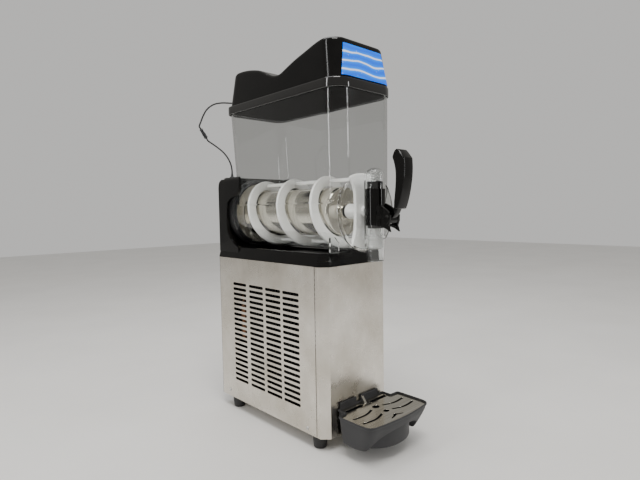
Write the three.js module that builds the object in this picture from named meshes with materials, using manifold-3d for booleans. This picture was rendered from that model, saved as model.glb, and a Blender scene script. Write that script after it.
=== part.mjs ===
// Single-bowl slush machine, counter-top type. Millimetres, +Z up, front towards -Y.
import * as THREE from 'three';
import { mergeVertices } from 'three/addons/utils/BufferGeometryUtils.js';
import Module from 'manifold-3d';

const wasm = await Module();
wasm.setup();

// ---------------------------------------------------------------- driving sizes
const GAP = 0.3;              // clearance left between neighbouring pieces
const SHEET = 1.2;            // panel sheet thickness
const CAB_HX = 100.5;         // cabinet half width
const CAB_HY = 195;           // cabinet half depth
const FOOT_H = 28;            // height of the feet
const CAB_TOP = 385.5;        // top of the steel panels
const CHAMFER = 16;           // chamfer on the front uprights
const SEAM_Y = -169;          // seam between front frame and side panels
const DECK_Z = 412.5;         // top of the raised rim round the deck
const DECK_FLOOR = 401;       // deck floor
const COL_HX = 97;            // rear column half width
const COL_BACK = 197;         // rear face of the column
const COL_TOP = 588;          // top of the column
const COL_FACE = 170.5;       // recessed face of the column that carries the gasket
const AXIS_Z = 497;           // height of the freezing cylinder axis
const DRUM_R = 54;            // freezing cylinder radius
const DRUM_FRONT = -161;      // front end of the freezing cylinder
const AUGER_R = 80;           // outer radius of the spiral
const AUGER_IN = 58;          // inner radius of the spiral
const PITCH = 113;            // spiral pitch
const BOWL_R = 84;            // outer radius of the bowl trough
const BOWL_HX = 88.5;         // bowl half width at its top edge
const BOWL_FRONT = -227.5;    // front face of the bowl
const BOWL_BACK = 160;        // rear face of the bowl at its top edge
const BOWL_TOP = 752;         // top edge of the bowl
const WALL = 3;               // bowl wall
const BOWL_REAR = 152;        // rear end of the trough, pushed over the gasket
const FLANGE_R = 75.5;        // rear flange of the freezing cylinder
const RIM_Z = 741;            // lower edge of the lid skirt
const LID_Z = 761;            // top of the lid skirt
const LID_HX = 91;            // lid skirt half width
const LID_FRONT = -230.5;      // lid skirt front
const LID_REAR = 170;         // lid skirt rear
const HOOD_HX = 88;           // hood half width at its foot
const HOOD_REAR = 158;        // hood rear at its foot
const HOOD_TOP = 843;         // crest of the hood above the sign
const BAY_HX = 89.5;          // half width of the bay between the column's ears
const TAP_Y = -246;           // axis of the tap tube
const PIVOT_Y = -287;         // tap lever pivot
const PIVOT_Z = 480;
const TRAY_RIM = 88;          // height of the drip tray rim
const TRAY_X = 4;             // the tray hangs a little to the right on its lugs
const TRAY_HX = 96;           // drip tray half width
const TRAY_FRONT = -316;      // middle of the bowed front
const TRAY_REAR = -197.2;
const NECK_HX = 72;           // half width of the tray's neck behind the rim's shoulders
const DOME_Z = 573;           // where the tap tube turns in to its dome
const HANDLE_FRONT = -331.4;  // crest of the tap handle's front curve

// ---------------------------------------------------------------- materials
function material(color, roughness, metalness, opacity = 1) {
  const m = new THREE.MeshStandardMaterial({ color, roughness, metalness });
  if (opacity < 1) {
    m.transparent = true;
    m.opacity = opacity;
  }
  return m;
}

const steel = () => material(0xc9c4b8, 0.38, 0.9);
const polished = () => material(0xd5d2cc, 0.18, 1.0);
const blackGloss = () => material(0x0d0d0f, 0.16, 0.0);
const blackMatt = () => material(0x202124, 0.65, 0.0);
const rubber = () => material(0x17181a, 0.8, 0.0);
const clear = () => material(0xe8eef0, 0.05, 0.0, 0.25);
const white = () => material(0xf1efe8, 0.45, 0.0);
const copper = () => material(0xb5683a, 0.35, 0.9);
const blackPaint = () => material(0x26272a, 0.5, 0.3);

// ---------------------------------------------------------------- solids
function solid(geometry) {
  let g = geometry.clone();
  g.deleteAttribute('normal');
  g.deleteAttribute('uv');
  g = mergeVertices(g, 1e-4);
  const vertProperties = new Float32Array(g.attributes.position.array);
  const triVerts = new Uint32Array(g.index.array);
  return new wasm.Manifold(new wasm.Mesh({ numProp: 3, vertProperties, triVerts }));
}

function surface(manifold) {
  const m = manifold.getMesh();
  const g = new THREE.BufferGeometry();
  g.setAttribute('position', new THREE.BufferAttribute(new Float32Array(m.vertProperties), 3));
  g.setIndex(new THREE.BufferAttribute(new Uint32Array(m.triVerts), 1));
  const flat = g.toNonIndexed();
  flat.computeVertexNormals();
  return flat;
}

function box(x0, x1, y0, y1, z0, z1) {
  const g = new THREE.BoxGeometry(x1 - x0, y1 - y0, z1 - z0);
  g.translate((x0 + x1) / 2, (y0 + y1) / 2, (z0 + z1) / 2);
  return solid(g);
}

// Cylinder along Y, about the point x, z.
function rodY(r, y0, y1, x = 0, z = AXIS_Z, sides = 32) {
  const g = new THREE.CylinderGeometry(r, r, y1 - y0, sides);
  g.translate(x, (y0 + y1) / 2, z);
  return solid(g);
}

// Upright cylinder, r0 at the bottom and r1 at the top.
function rodZ(r0, r1, z0, z1, x, y, sides = 32) {
  const g = new THREE.CylinderGeometry(r1, r0, z1 - z0, sides);
  g.rotateX(Math.PI / 2);
  g.translate(x, y, (z0 + z1) / 2);
  return solid(g);
}

function rodX(r, x0, x1, y, z, sides = 20) {
  const g = new THREE.CylinderGeometry(r, r, x1 - x0, sides);
  g.rotateZ(Math.PI / 2);
  g.translate((x0 + x1) / 2, y, z);
  return solid(g);
}

function shapeOf(points) {
  return new THREE.Shape(points.map(([a, b]) => new THREE.Vector2(a, b)));
}

// Outline in the XY plane pulled up from z0 to z1.
function prismZ(shape, z0, z1, steps = 1, curveSegments = 2) {
  const g = new THREE.ExtrudeGeometry(shape, { depth: z1 - z0, bevelEnabled: false, steps, curveSegments });
  g.translate(0, 0, z0);
  return g;
}

// Outline given as y, z pairs, pulled along X from x0 to x1.
function prismX(shape, x0, x1, bevel = 0, curveSegments = 8) {
  const options = { depth: x1 - x0 - 2 * bevel, curveSegments, bevelEnabled: bevel > 0 };
  if (bevel > 0) {
    Object.assign(options, { bevelThickness: bevel, bevelSize: bevel, bevelOffset: -bevel, bevelSegments: 2 });
  }
  const g = new THREE.ExtrudeGeometry(shape, options);
  g.translate(0, 0, x0 + bevel);
  g.rotateY(Math.PI / 2);
  g.rotateX(Math.PI / 2);
  return g;
}

// Turned body about the Y axis through x = 0, z = AXIS_Z; profile of r, y pairs that closes.
function turnedY(profile, sides = 40, z = AXIS_Z) {
  const points = profile.map(([r, y]) => new THREE.Vector2(r, y));
  points.push(points[0].clone());
  const g = new THREE.LatheGeometry(points, sides);
  g.translate(0, 0, z);
  return oriented(g);
}

// Turned body about a vertical axis; profile of r, z pairs that closes.
function turnedZ(profile, x, y, sides = 32) {
  const points = profile.map(([r, z]) => new THREE.Vector2(r, z));
  points.push(points[0].clone());
  const g = new THREE.LatheGeometry(points, sides);
  g.rotateX(Math.PI / 2);
  g.translate(x, y, 0);
  return oriented(g);
}

// Turns the faces out if the profile ran the other way round.
function oriented(geometry) {
  let body = solid(geometry);
  if (body.volume() > 0) {
    return body;
  }
  const index = geometry.index.array;
  for (let i = 0; i < index.length; i += 3) {
    const t = index[i];
    index[i] = index[i + 1];
    index[i + 1] = t;
  }
  return solid(geometry);
}

function roundedRect(x0, x1, y0, y1, r, rRear = r) {
  const s = new THREE.Shape();
  s.moveTo(x0 + r, y0);
  s.lineTo(x1 - r, y0);
  s.absarc(x1 - r, y0 + r, r, -Math.PI / 2, 0, false);
  s.lineTo(x1, y1 - rRear);
  s.absarc(x1 - rRear, y1 - rRear, rRear, 0, Math.PI / 2, false);
  s.lineTo(x0 + rRear, y1);
  s.absarc(x0 + rRear, y1 - rRear, rRear, Math.PI / 2, Math.PI, false);
  s.lineTo(x0, y0 + r);
  s.absarc(x0 + r, y0 + r, r, Math.PI, 1.5 * Math.PI, false);
  return s;
}

// Moves every vertex of a geometry by a rule (x, y, z) -> [x, y, z].
function reshape(geometry, rule) {
  const p = geometry.attributes.position;
  for (let i = 0; i < p.count; i++) {
    const [x, y, z] = rule(p.getX(i), p.getY(i), p.getZ(i));
    p.setXYZ(i, x, y, z);
  }
  return geometry;
}

function unite(...list) {
  return list.reduce((a, b) => a.add(b));
}

function cut(body, ...tools) {
  return tools.reduce((a, b) => a.subtract(b), body);
}

// Tube along a list of points, round section.
function tube(points, r, steps, sides = 8) {
  const path = new THREE.CatmullRomCurve3(points.map((p) => new THREE.Vector3(...p)));
  const ring = new THREE.Shape();
  for (let i = 0; i < sides; i++) {
    const a = (2 * Math.PI * i) / sides;
    const x = r * Math.cos(a);
    const y = r * Math.sin(a);
    if (i === 0) {
      ring.moveTo(x, y);
    } else {
      ring.lineTo(x, y);
    }
  }
  return new THREE.ExtrudeGeometry(ring, { steps, extrudePath: path, curveSegments: 1 });
}

const machine = new THREE.Group();

function add(name, body, mat) {
  const geometry = body.isBufferGeometry ? body : surface(body);
  const mesh = new THREE.Mesh(geometry, mat);
  mesh.name = name;
  machine.add(mesh);
}

// Puts the middle of the machine's depth over the origin.
function centreDepth() {
  const bounds = new THREE.Box3().setFromObject(machine);
  machine.position.set(0, -(bounds.min.y + bounds.max.y) / 2, 0);
}

// ---------------------------------------------------------------- cabinet
function cabinetPlan(inset) {
  const hx = CAB_HX - inset;
  const hy = CAB_HY - inset;
  const c = CHAMFER - inset * 0.414;
  return [[-hx, hy], [-hx, -hy + c], [-hx + c, -hy], [hx - c, -hy], [hx, -hy + c], [hx, hy]];
}

const SCREW_SPOTS = [[160, 44], [-139, 40]];

function basePan() {
  const outer = solid(prismZ(shapeOf(cabinetPlan(SHEET + GAP)), FOOT_H, 56));
  const inner = solid(prismZ(shapeOf(cabinetPlan(2 * SHEET + GAP)), FOOT_H + 1.5, 60));
  let pan = cut(outer, inner);
  for (const [y, z] of SCREW_SPOTS) {
    pan = cut(pan, rodX(2.4, -110, 110, y, z, 12));
  }
  for (let i = 0; i < 7; i++) {
    pan = cut(pan, box(-60, 20, -150 + i * 14, -145 + i * 14, FOOT_H - 5, FOOT_H + 5));
  }
  return pan;
}

function foot(x, y) {
  const profile = [[0, 0.0], [13.5, 0.0], [15, 1.5], [16, FOOT_H - 6], [14, FOOT_H - GAP], [0, FOOT_H - GAP]];
  const points = profile.map(([r, z]) => new THREE.Vector2(r, z));
  const g = new THREE.LatheGeometry(points, 16);
  g.rotateX(Math.PI / 2);
  g.translate(x, y, 0);
  return oriented(g);
}

const VENT_ROWS = 20;
const VENT_PITCH = 12.65;
const VENT_TOP = 322;
const VENT_H = 7;
const VENT_LEN = 56;
const VENT_COLUMNS = [105.5, 37.5, -27, -90];

function ventSlots(body, side) {
  const x = side * CAB_HX;
  for (const y of VENT_COLUMNS) {
    for (let row = 0; row < VENT_ROWS; row++) {
      const z = VENT_TOP - row * VENT_PITCH;
      body = body.subtract(box(x - 3, x + 3, y - VENT_LEN / 2, y + VENT_LEN / 2, z - VENT_H / 2, z + VENT_H / 2));
    }
  }
  return body;
}

function sidePanel(side) {
  const xo = side * CAB_HX;
  const xi = side * (CAB_HX - SHEET);
  const [a, b] = xo < xi ? [xo, xi] : [xi, xo];
  const [c, d] = side < 0 ? [xo, xo + 9] : [xo - 9, xo];
  const sheet = box(a, b, SEAM_Y + GAP, 193.2, FOOT_H + 0.5, CAB_TOP);
  const topFlange = box(c, d, SEAM_Y + 4, 189, CAB_TOP - SHEET, CAB_TOP);
  let panel = ventSlots(sheet.add(topFlange), side);
  for (const [y, z] of SCREW_SPOTS) {
    panel = panel.subtract(rodX(2.4, xo - 3, xo + 3, y, z, 12));
  }
  if (side > 0) {
    panel = panel.subtract(box(90, 110, -128, -12, 338, 370));
  }
  return panel;
}

function frontPanel() {
  const outer = cabinetPlan(0);
  const inner = cabinetPlan(SHEET);
  const ring = [outer[1], outer[2], outer[3], outer[4]];
  const back = [inner[4], inner[3], inner[2], inner[1]];
  const outline = [[-CAB_HX, SEAM_Y], ...ring, [CAB_HX, SEAM_Y], [CAB_HX - SHEET, SEAM_Y], ...back,
    [-CAB_HX + SHEET, SEAM_Y]];
  let panel = solid(prismZ(shapeOf(outline), FOOT_H + 0.5, CAB_TOP));
  for (const x of [-1, 1]) {
    panel = panel.subtract(box(x * 50 - 7, x * 50 + 7, -200, -190, 62, 66));
  }
  return panel;
}

function rearPanel() {
  let panel = box(-CAB_HX + GAP, CAB_HX - GAP, 193.6, CAB_HY, FOOT_H + 0.5, CAB_TOP);
  for (let row = 0; row < 18; row++) {
    const z = 330 - row * VENT_PITCH;
    panel = panel.subtract(box(18, 78, 190, 200, z - 2.5, z + 2.5));
  }
  return panel.subtract(box(-64.5, -35.5, 190, 200, 58, 80));
}

// Appliance inlet with its three pins, low on the back.
function mainsInlet() {
  const flange = box(-70, -30, CAB_HY + GAP, COL_BACK, 54, 84);
  const barrel = box(-64, -36, 172, CAB_HY + GAP, 58.5, 79.5);
  let inlet = flange.add(barrel).subtract(box(-61.5, -38.5, 176, 200, 61, 77));
  for (const [x, z] of [[-57, 66], [-43, 66], [-50, 71.5]]) {
    inlet = inlet.add(box(x - 1, x + 1, 175, 194, z - 2, z + 2));
  }
  return inlet;
}

// Two bent lugs on the front sheet that the tray's ears drop over.
function trayHook() {
  const plate = box(TRAY_X - 60, TRAY_X + 60, -196.6, -195.3, 52, 62);
  const riser = [-50, 50].map((x) => box(TRAY_X + x - 6, TRAY_X + x + 6, -196.6, -195.3, 60, 70));
  return unite(plate, ...riser);
}

function screw(side, y, z) {
  const x = side * CAB_HX;
  const head = side < 0 ? rodX(4, x - 1.5, x - 0.02 - GAP, y, z, 12) : rodX(4, x + 0.02 + GAP, x + 1.5, y, z, 12);
  const shank = side < 0 ? rodX(2, x - 1, x + 7, y, z, 10) : rodX(2, x - 7, x + 1, y, z, 10);
  return head.add(shank);
}

function buildCabinet() {
  add('base_pan', basePan(), steel());
  for (const [name, x, y] of [['foot_front_left', -80, -156], ['foot_front_right', 80, -156],
    ['foot_rear_left', -80, 150], ['foot_rear_right', 80, 150]]) {
    add(name, foot(x, y), rubber());
  }
  add('side_panel_left', sidePanel(-1), steel());
  add('side_panel_right', sidePanel(1), steel());
  add('front_panel', frontPanel(), steel());
  add('rear_panel', rearPanel(), blackPaint());
  add('mains_inlet', mainsInlet(), blackMatt());
  add('tray_hook', trayHook(), polished());
  add('screw_left_front', screw(-1, ...SCREW_SPOTS[1]), polished());
  add('screw_left_rear', screw(-1, ...SCREW_SPOTS[0]), polished());
  add('screw_right_front', screw(1, ...SCREW_SPOTS[1]), polished());
  add('screw_right_rear', screw(1, ...SCREW_SPOTS[0]), polished());
}

// ---------------------------------------------------------------- cooling set inside the cabinet
const FAN_Y = -35;
const FAN_Z = 158;

function compressor() {
  const profile = [[0, 50], [40, 50], [54, 62], [56, 80], [56, 150], [52, 176], [36, 194], [0, 200]];
  const points = profile.map(([r, z]) => new THREE.Vector2(r, z));
  const g = new THREE.LatheGeometry(points, 20);
  g.rotateX(Math.PI / 2);
  g.translate(34, 108, 0);
  const plate = box(-32, 92, 44, 172, 44, 47);
  const legs = [[-20, 58], [80, 58], [-20, 158], [80, 158]].map(([x, y]) => rodZ(7, 7, 29.8, 45, x, y, 12));
  return unite(oriented(g), rodZ(30, 30, 46, 60, 34, 108, 20), plate, ...legs);
}

function condenser() {
  let core = box(-94, -68, -118, 62, 62, 332);
  for (let i = 0; i < 16; i++) {
    const y = -114 + i * 10.9;
    core = core.subtract(box(-97, -86, y, y + 7, 66, 328));
  }
  return unite(core, rodZ(4, 4, 52, 340, -80, 67, 8), box(-84, -76, 57, 67, 300, 310));
}

function fanShroud() {
  const plate = box(-64, -62.5, -118, 62, 62, 332);
  const collar = rodX(76, -64, -46, FAN_Y, FAN_Z, 24);
  return plate.add(collar).subtract(rodX(74, -70, -40, FAN_Y, FAN_Z, 24));
}

function fanMotor() {
  const can = rodX(22, -30, 6, FAN_Y, FAN_Z, 24);
  const bar = box(-10, -4, FAN_Y - 79, FAN_Y + 79, FAN_Z - 6, FAN_Z + 6);
  const legs = [-79, 76.4].map((d) => box(-62.2, -4, FAN_Y + d, FAN_Y + d + 2.6, FAN_Z - 6, FAN_Z + 6));
  return unite(can, rodX(3, -52, -28, FAN_Y, FAN_Z, 10), bar, ...legs);
}

function fanBlade() {
  let fan = rodX(15, -58, -44, FAN_Y, FAN_Z, 20);
  for (let i = 0; i < 5; i++) {
    const blade = new THREE.BoxGeometry(2, 58, 34);
    blade.rotateY(0.35);
    blade.translate(0, 41, 0);
    blade.rotateX((2 * Math.PI * i) / 5);
    blade.translate(-51, FAN_Y, FAN_Z);
    fan = fan.add(solid(blade));
  }
  return fan.subtract(rodX(3 + GAP, -70, -40, FAN_Y, FAN_Z, 12));
}

function filterDrier() {
  const profile = [[0, 176], [3.4, 178], [8, 186], [8, 262], [3.4, 270], [0, 272]];
  const points = profile.map(([r, z]) => new THREE.Vector2(r, z));
  const g = new THREE.LatheGeometry(points, 16);
  g.rotateX(Math.PI / 2);
  g.translate(-72, 130, 0);
  return oriented(g);
}

function buildCoolingSet() {
  add('compressor', compressor(), blackPaint());
  add('condenser', condenser(), blackPaint());
  add('fan_shroud', fanShroud(), blackPaint());
  add('fan_motor', fanMotor(), steel());
  add('fan_blade', fanBlade(), blackMatt());
  add('filter_drier', filterDrier(), copper());
  const suction = [[34, 150, 196], [34, 166, 214], [34, 178, 250], [34, 183, 320], [34, 183, 400], [34, 183, 436]];
  add('suction_pipe', tube(suction, 4, 14, 6), copper());
  const liquid = [[-72, 130, 275], [-70, 140, 296], [-50, 172, 320], [-34, 183, 350], [-34, 183, 436]];
  add('liquid_pipe', tube(liquid, 3, 14, 6), copper());
}

// ---------------------------------------------------------------- controls on the right-hand side
const SWITCH_Y = [-106, -70, -34];
const SWITCH_Z = 354;
const SWITCH_X = 94.5;

function switchPlate() {
  const plate = box(94, 96.5, -127.5, -12.5, 338.5, 369.5);
  const rim = cut(box(88, 99, -127.5, -12.5, 338.5, 369.5), box(80, 110, -124.5, -15.5, 341.5, 366.5));
  const body = cut(plate.add(rim), ...SWITCH_Y.map((y) => box(80, 110, y - 13, y + 13, SWITCH_Z - 8, SWITCH_Z + 8)));
  const wells = SWITCH_Y.map((y) => cut(box(80, 95, y - 14.5, y + 14.5, SWITCH_Z - 9.5, SWITCH_Z + 9.5),
    box(82, 96, y - 13, y + 13, SWITCH_Z - 8, SWITCH_Z + 8)));
  return unite(body, ...wells);
}

function rocker(y) {
  const profile = shapeOf([[-11.6, 3.0], [0, 1.2], [11.6, 3.0], [10.6, -3.2], [0, -6.5], [-10.6, -3.2]]);
  const g = new THREE.ExtrudeGeometry(profile, { depth: 15, bevelEnabled: false });
  g.translate(0, 0, -7.5);
  g.rotateZ(-Math.PI / 2);
  g.rotateZ((-8 * Math.PI) / 180);
  g.translate(SWITCH_X, y, SWITCH_Z);
  return oriented(mergeable(g));
}

function mergeable(g) {
  g.deleteAttribute('normal');
  g.deleteAttribute('uv');
  return mergeVertices(g, 1e-4);
}

function controlBox() {
  return cut(box(30, 78, -168, -30, 262, 372), box(33, 75, -165, -33, 265, 380));
}

function buildControls() {
  add('switch_plate', switchPlate(), blackMatt());
  add('switch_power', rocker(SWITCH_Y[0]), blackMatt());
  add('switch_mix', rocker(SWITCH_Y[1]), blackMatt());
  add('switch_lamp', rocker(SWITCH_Y[2]), blackMatt());
  add('control_box', controlBox(), steel());
}

// ---------------------------------------------------------------- deck and rear column
function deckBody() {
  const plan = shapeOf(cabinetPlan(-0.5));
  const g = prismZ(plan, CAB_TOP + 0.5, DECK_Z, 1);
  reshape(g, (x, y, z) => {
    if (z < DECK_Z - 1) {
      return [x, y, z];
    }
    return [x * 0.92, y > 0 ? y : y * 0.958, z];
  });
  const floorCut = prismZ(roundedRect(-84, 84, -179, COL_FACE, 14), DECK_FLOOR, 430, 1);
  const under = prismZ(shapeOf(cabinetPlan(3.5)), CAB_TOP - 5, DECK_FLOOR - 3, 1);
  return cut(solid(g), solid(floorCut), solid(under));
}

// Side view of the column: a C that reaches forward at the top and at the deck.
function columnSide() {
  const s = new THREE.Shape();
  s.moveTo(COL_BACK, 400);
  s.lineTo(COL_BACK, COL_TOP - 28);
  s.bezierCurveTo(COL_BACK, COL_TOP - 8, COL_BACK - 14, COL_TOP, COL_BACK - 38, COL_TOP);
  s.lineTo(116, COL_TOP);
  s.bezierCurveTo(106, COL_TOP, 103, COL_TOP - 6, 103, COL_TOP - 14);
  s.lineTo(103, 556);
  s.bezierCurveTo(104, 530, 160, 545, 160, 510);
  s.lineTo(160, 462);
  s.bezierCurveTo(160, 436, 140, 424, 112, DECK_Z - 0.5);
  s.lineTo(112, 400);
  return s;
}

function columnBody() {
  const side = solid(prismX(columnSide(), -COL_HX, COL_HX, 0, 6));
  const front = roundedRect(-COL_HX, COL_HX, -COL_TOP, -380, 14);
  const g = new THREE.ExtrudeGeometry(front, { depth: 120, bevelEnabled: false, curveSegments: 5 });
  g.rotateX(Math.PI / 2);
  const bounds = new THREE.Box3().setFromBufferAttribute(g.attributes.position);
  g.translate(0, 90 - bounds.min.y, 380 - bounds.min.z);
  const rounded = side.intersect(oriented(mergeable(g)));
  return rounded.subtract(box(-BAY_HX, BAY_HX, 60, COL_FACE, 380, 700));
}

function topHousing() {
  const inside = box(-94, 94, COL_FACE + 3, COL_BACK + 5, DECK_FLOOR, COL_TOP - 3);
  let body = deckBody().add(columnBody()).subtract(inside);
  body = body.subtract(rodY(DRUM_R + 0.4, 160, 180, 0, AXIS_Z, 40));
  body = body.subtract(box(-44, 44, 177, 191, 380, 405));
  return body.subtract(rodZ(2.6, 2.6, 570, 600, -64, 182, 12));
}

function columnCover() {
  let cover = box(-93.6, 93.6, COL_BACK - 2.4, COL_BACK, DECK_FLOOR + 0.4, 556);
  for (let i = 0; i < 6; i++) {
    cover = cover.subtract(box(-60, 60, 190, 200, 430 + i * 10, 434 + i * 10));
  }
  return cover;
}

function buildHousing() {
  add('top_housing', topHousing(), blackGloss());
  add('column_back_cover', columnCover(), blackMatt());
}

// ---------------------------------------------------------------- freezing cylinder and drive
function freezingCylinder() {
  const f = DRUM_FRONT;
  return turnedY([[9, f - 7], [14, f - 7], [16, f], [49, f], [DRUM_R, f + 5], [DRUM_R, 146], [FLANGE_R, 146],
    [FLANGE_R, 149.6], [DRUM_R, 150], [DRUM_R, 186],
    [DRUM_R - 2.5, 186], [DRUM_R - 2.5, f + 7], [46, f + 4], [9, f + 4]], 32);
}

function bowlGasket() {
  const sleeve = BOWL_R - WALL - 0.6;
  const profile = [[DRUM_R + 0.7, 150.4], [FLANGE_R + 0.4, 150], [FLANGE_R + 0.4, 143], [sleeve - 1, 143],
    [sleeve, 144], [sleeve, 156], [84, 156], [85.5, 157.5], [85.5, COL_FACE - GAP], [DRUM_R + 0.7, COL_FACE - GAP]];
  return turnedY(profile, 36);
}

function gearMotor() {
  const box1 = rodY(44, 20, 96, 0, AXIS_Z, 20);
  const can = rodY(38, 96, 178, 0, AXIS_Z, 20);
  const flange = rodY(48, 178, 186.5, 0, AXIS_Z, 20);
  const nose = rodY(16, 12, 22, 0, AXIS_Z, 20);
  return unite(box1, can, flange, nose).subtract(rodY(7 + GAP, 0, 60, 0, AXIS_Z, 16));
}

function motorPlate() {
  const plate = box(-88, 88, 187, 190, AXIS_Z - 34, AXIS_Z + 62);
  return plate.subtract(rodY(20, 180, 195, 0, AXIS_Z, 20));
}

function shaftSeal() {
  return turnedY([[7.4, -173.5], [11, -173.5], [14, -171.5], [14, -168.3], [7.4, -168.3]], 24);
}

function driveShaft() {
  return rodY(7, -216, 58, 0, AXIS_Z, 16);
}

// Flat ribbon wound round the cylinder, from the top at the rear and falling towards the near side.
function spiralRibbon(phase0, phase1, steps) {
  const g = new THREE.BoxGeometry(1, 1, 1, steps, 1, 1);
  const yAt = (phase) => 115 - (PITCH * phase) / (2 * Math.PI);
  return solid(reshape(g, (u, v, w) => {
    const phase = phase0 + (u + 0.5) * (phase1 - phase0);
    const r = AUGER_IN + (v + 0.5) * (AUGER_R - AUGER_IN);
    const y = yAt(phase) + w * 7;
    return [-r * Math.sin(phase), y, AXIS_Z + r * Math.cos(phase)];
  }));
}

function augerBar(phase, y0, y1) {
  const g = new THREE.BoxGeometry(9, y1 - y0, 8);
  g.translate(0, (y0 + y1) / 2, 68);
  g.rotateY(-phase);
  g.translate(0, 0, AXIS_Z);
  return solid(g);
}

// Flat paddle across the front end of the spiral, with flared ends that follow its circle.
function augerPaddle() {
  const s = new THREE.Shape();
  s.moveTo(-23, -30);
  s.lineTo(-24.5, 40);
  s.lineTo(-36, 70);
  s.quadraticCurveTo(0, 87, 36, 70);
  s.lineTo(24.5, 40);
  s.lineTo(23, -30);
  s.lineTo(38, -69);
  s.quadraticCurveTo(0, -87, -38, -69);
  const g = prismZ(s, 206, 214, 5);
  return solid(g.rotateX(Math.PI / 2).translate(0, 0, AXIS_Z));
}

function auger() {
  const turns = spiralRibbon(-0.25 * Math.PI, 5.6 * Math.PI, 76);
  const bars = [augerBar(0, -208, 118), augerBar(Math.PI, -208, 62)];
  const hub = rodY(16, -210, -174.5, 0, AXIS_Z, 24);
  return unite(turns, ...bars, augerPaddle(), hub).subtract(rodY(7 + GAP, -220, -170, 0, AXIS_Z, 16));
}

function augerNut() {
  const knob = rodY(12, -222.5, -214.4, 0, AXIS_Z, 20);
  return knob.subtract(rodY(7 + GAP, -216 - GAP, -200, 0, AXIS_Z, 16));
}

function buildDrive() {
  add('freezing_cylinder', freezingCylinder(), polished());
  add('bowl_gasket', bowlGasket(), rubber());
  add('gear_motor', gearMotor(), steel());
  add('motor_plate', motorPlate(), steel());
  add('shaft_seal', shaftSeal(), rubber());
  add('drive_shaft', driveShaft(), polished());
  add('auger', auger(), white());
  add('auger_nut', augerNut(), white());
}

// ---------------------------------------------------------------- bowl
// Upper box of the bowl: tapers a little downwards and leans in at the rear.
function bowlUpper(inset, z0, z1) {
  const i = inset;
  const g = prismZ(roundedRect(-BOWL_HX + i, BOWL_HX - i, BOWL_FRONT + i, BOWL_BACK - i, 37 - i, 28 - i), z0, z1, 6);
  return solid(reshape(g, (x, y, z) => {
    const low = Math.min(1, Math.max(0, (600 - z) / 85));
    const down = Math.min(1, Math.max(0, (BOWL_TOP - z) / 162));
    const lean = y > 0 ? -13 * Math.min(1, Math.max(0, (735 - z) / 140)) : 0;
    return [x * (1 - 0.022 * down - 0.028 * low * low), y + lean * Math.min(1, Math.abs(y) / 120), z];
  }));
}

function trough(r, front, rear, edge) {
  const profile = [[0, front], [r - edge, front], [r - edge * 0.3, front + edge * 0.3], [r, front + edge], [r, rear],
    [0, rear]];
  const points = profile.map(([a, b]) => new THREE.Vector2(a, b));
  const g = new THREE.LatheGeometry(points, 36);
  g.translate(0, 0, AXIS_Z);
  return oriented(g);
}

// Clear tube at the front that holds the tap piston, with a domed top.
function tapTube() {
  const profile = [[0, 395], [17.4, 395], [19.4, 436], [21.2, 442], [21.2, 446], [19.7, 450], [19.7, DOME_Z],
    [18, DOME_Z + 4.5], [13, DOME_Z + 9], [6, DOME_Z + 11.5], [0, DOME_Z + 12]];
  const points = profile.map(([r, z]) => new THREE.Vector2(r, z));
  const g = new THREE.LatheGeometry(points, 22);
  g.rotateX(Math.PI / 2);
  g.translate(0, TAP_Y, 0);
  return oriented(g);
}

function tapBore() {
  const profile = [[0, 390], [15.2, 390], [15.2, 412], [16.9, 418], [16.9, DOME_Z], [12, DOME_Z + 6.5],
    [0, DOME_Z + 9.2]];
  const points = profile.map(([r, z]) => new THREE.Vector2(r, z));
  const g = new THREE.LatheGeometry(points, 22);
  g.rotateX(Math.PI / 2);
  g.translate(0, TAP_Y, 0);
  return oriented(g);
}

function bowl() {
  const shell = unite(bowlUpper(0, 515, BOWL_TOP), trough(BOWL_R, BOWL_FRONT, BOWL_REAR, 7));
  const web = box(-12, 12, -236, -225, 424, 560);
  const skirt = [-1, 1].map((s) => {
    const [a, b] = s < 0 ? [-79, -55] : [55, 79];
    return box(a, b, -196, -191, DECK_Z + 0.6, 445);
  });
  const hollow = unite(bowlUpper(WALL, 518, BOWL_TOP + 4), trough(BOWL_R - WALL, BOWL_FRONT + WALL, BOWL_REAR + 5, 5));
  const port = rodY(8, -240, -215, 0, 434, 12);
  const slot = box(-6, 6, -275, TAP_Y, 472, 503);
  let body = unite(shell, web, tapTube(), ...skirt);
  body = cut(body, hollow, tapBore(), port, slot);
  return body;
}

// ---------------------------------------------------------------- tap
function tapHousing() {
  const sleeve = cut(rodZ(21.3, 21.3, 468, 542, 0, TAP_Y, 24), rodZ(20.1, 20.1, 460, 550, 0, TAP_Y, 24));
  const lug = shapeOf([[-262, 513], [-276, 507], [-291, 497], [-297, 489], [-296, 477], [-293, 468], [-297, 456],
    [-287, 462], [-272, 467], [-262, 468]]);
  const lugs = [solidX(lug, -16, -11.5), solidX(lug, 11.5, 16)];
  const body = cut(unite(sleeve, ...lugs), rodZ(20.1, 20.1, 460, 550, 0, TAP_Y, 24));
  return cut(body, box(-6.3, 6.3, -280, TAP_Y, 470, 505), box(-30, 30, TAP_Y + 14, TAP_Y + 30, 460, 550),
    rodX(3 + GAP, -20, 20, PIVOT_Y, PIVOT_Z, 16));
}

function solidX(shape, x0, x1, bevel = 0, seg = 8) {
  return oriented(mergeable(prismX(shape, x0, x1, bevel, seg)));
}

function leverPin() {
  const head = rodX(4.6, 16.4, 18, PIVOT_Y, PIVOT_Z, 16);
  return rodX(3, -17.5, 17, PIVOT_Y, PIVOT_Z, 16).add(head);
}

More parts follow.
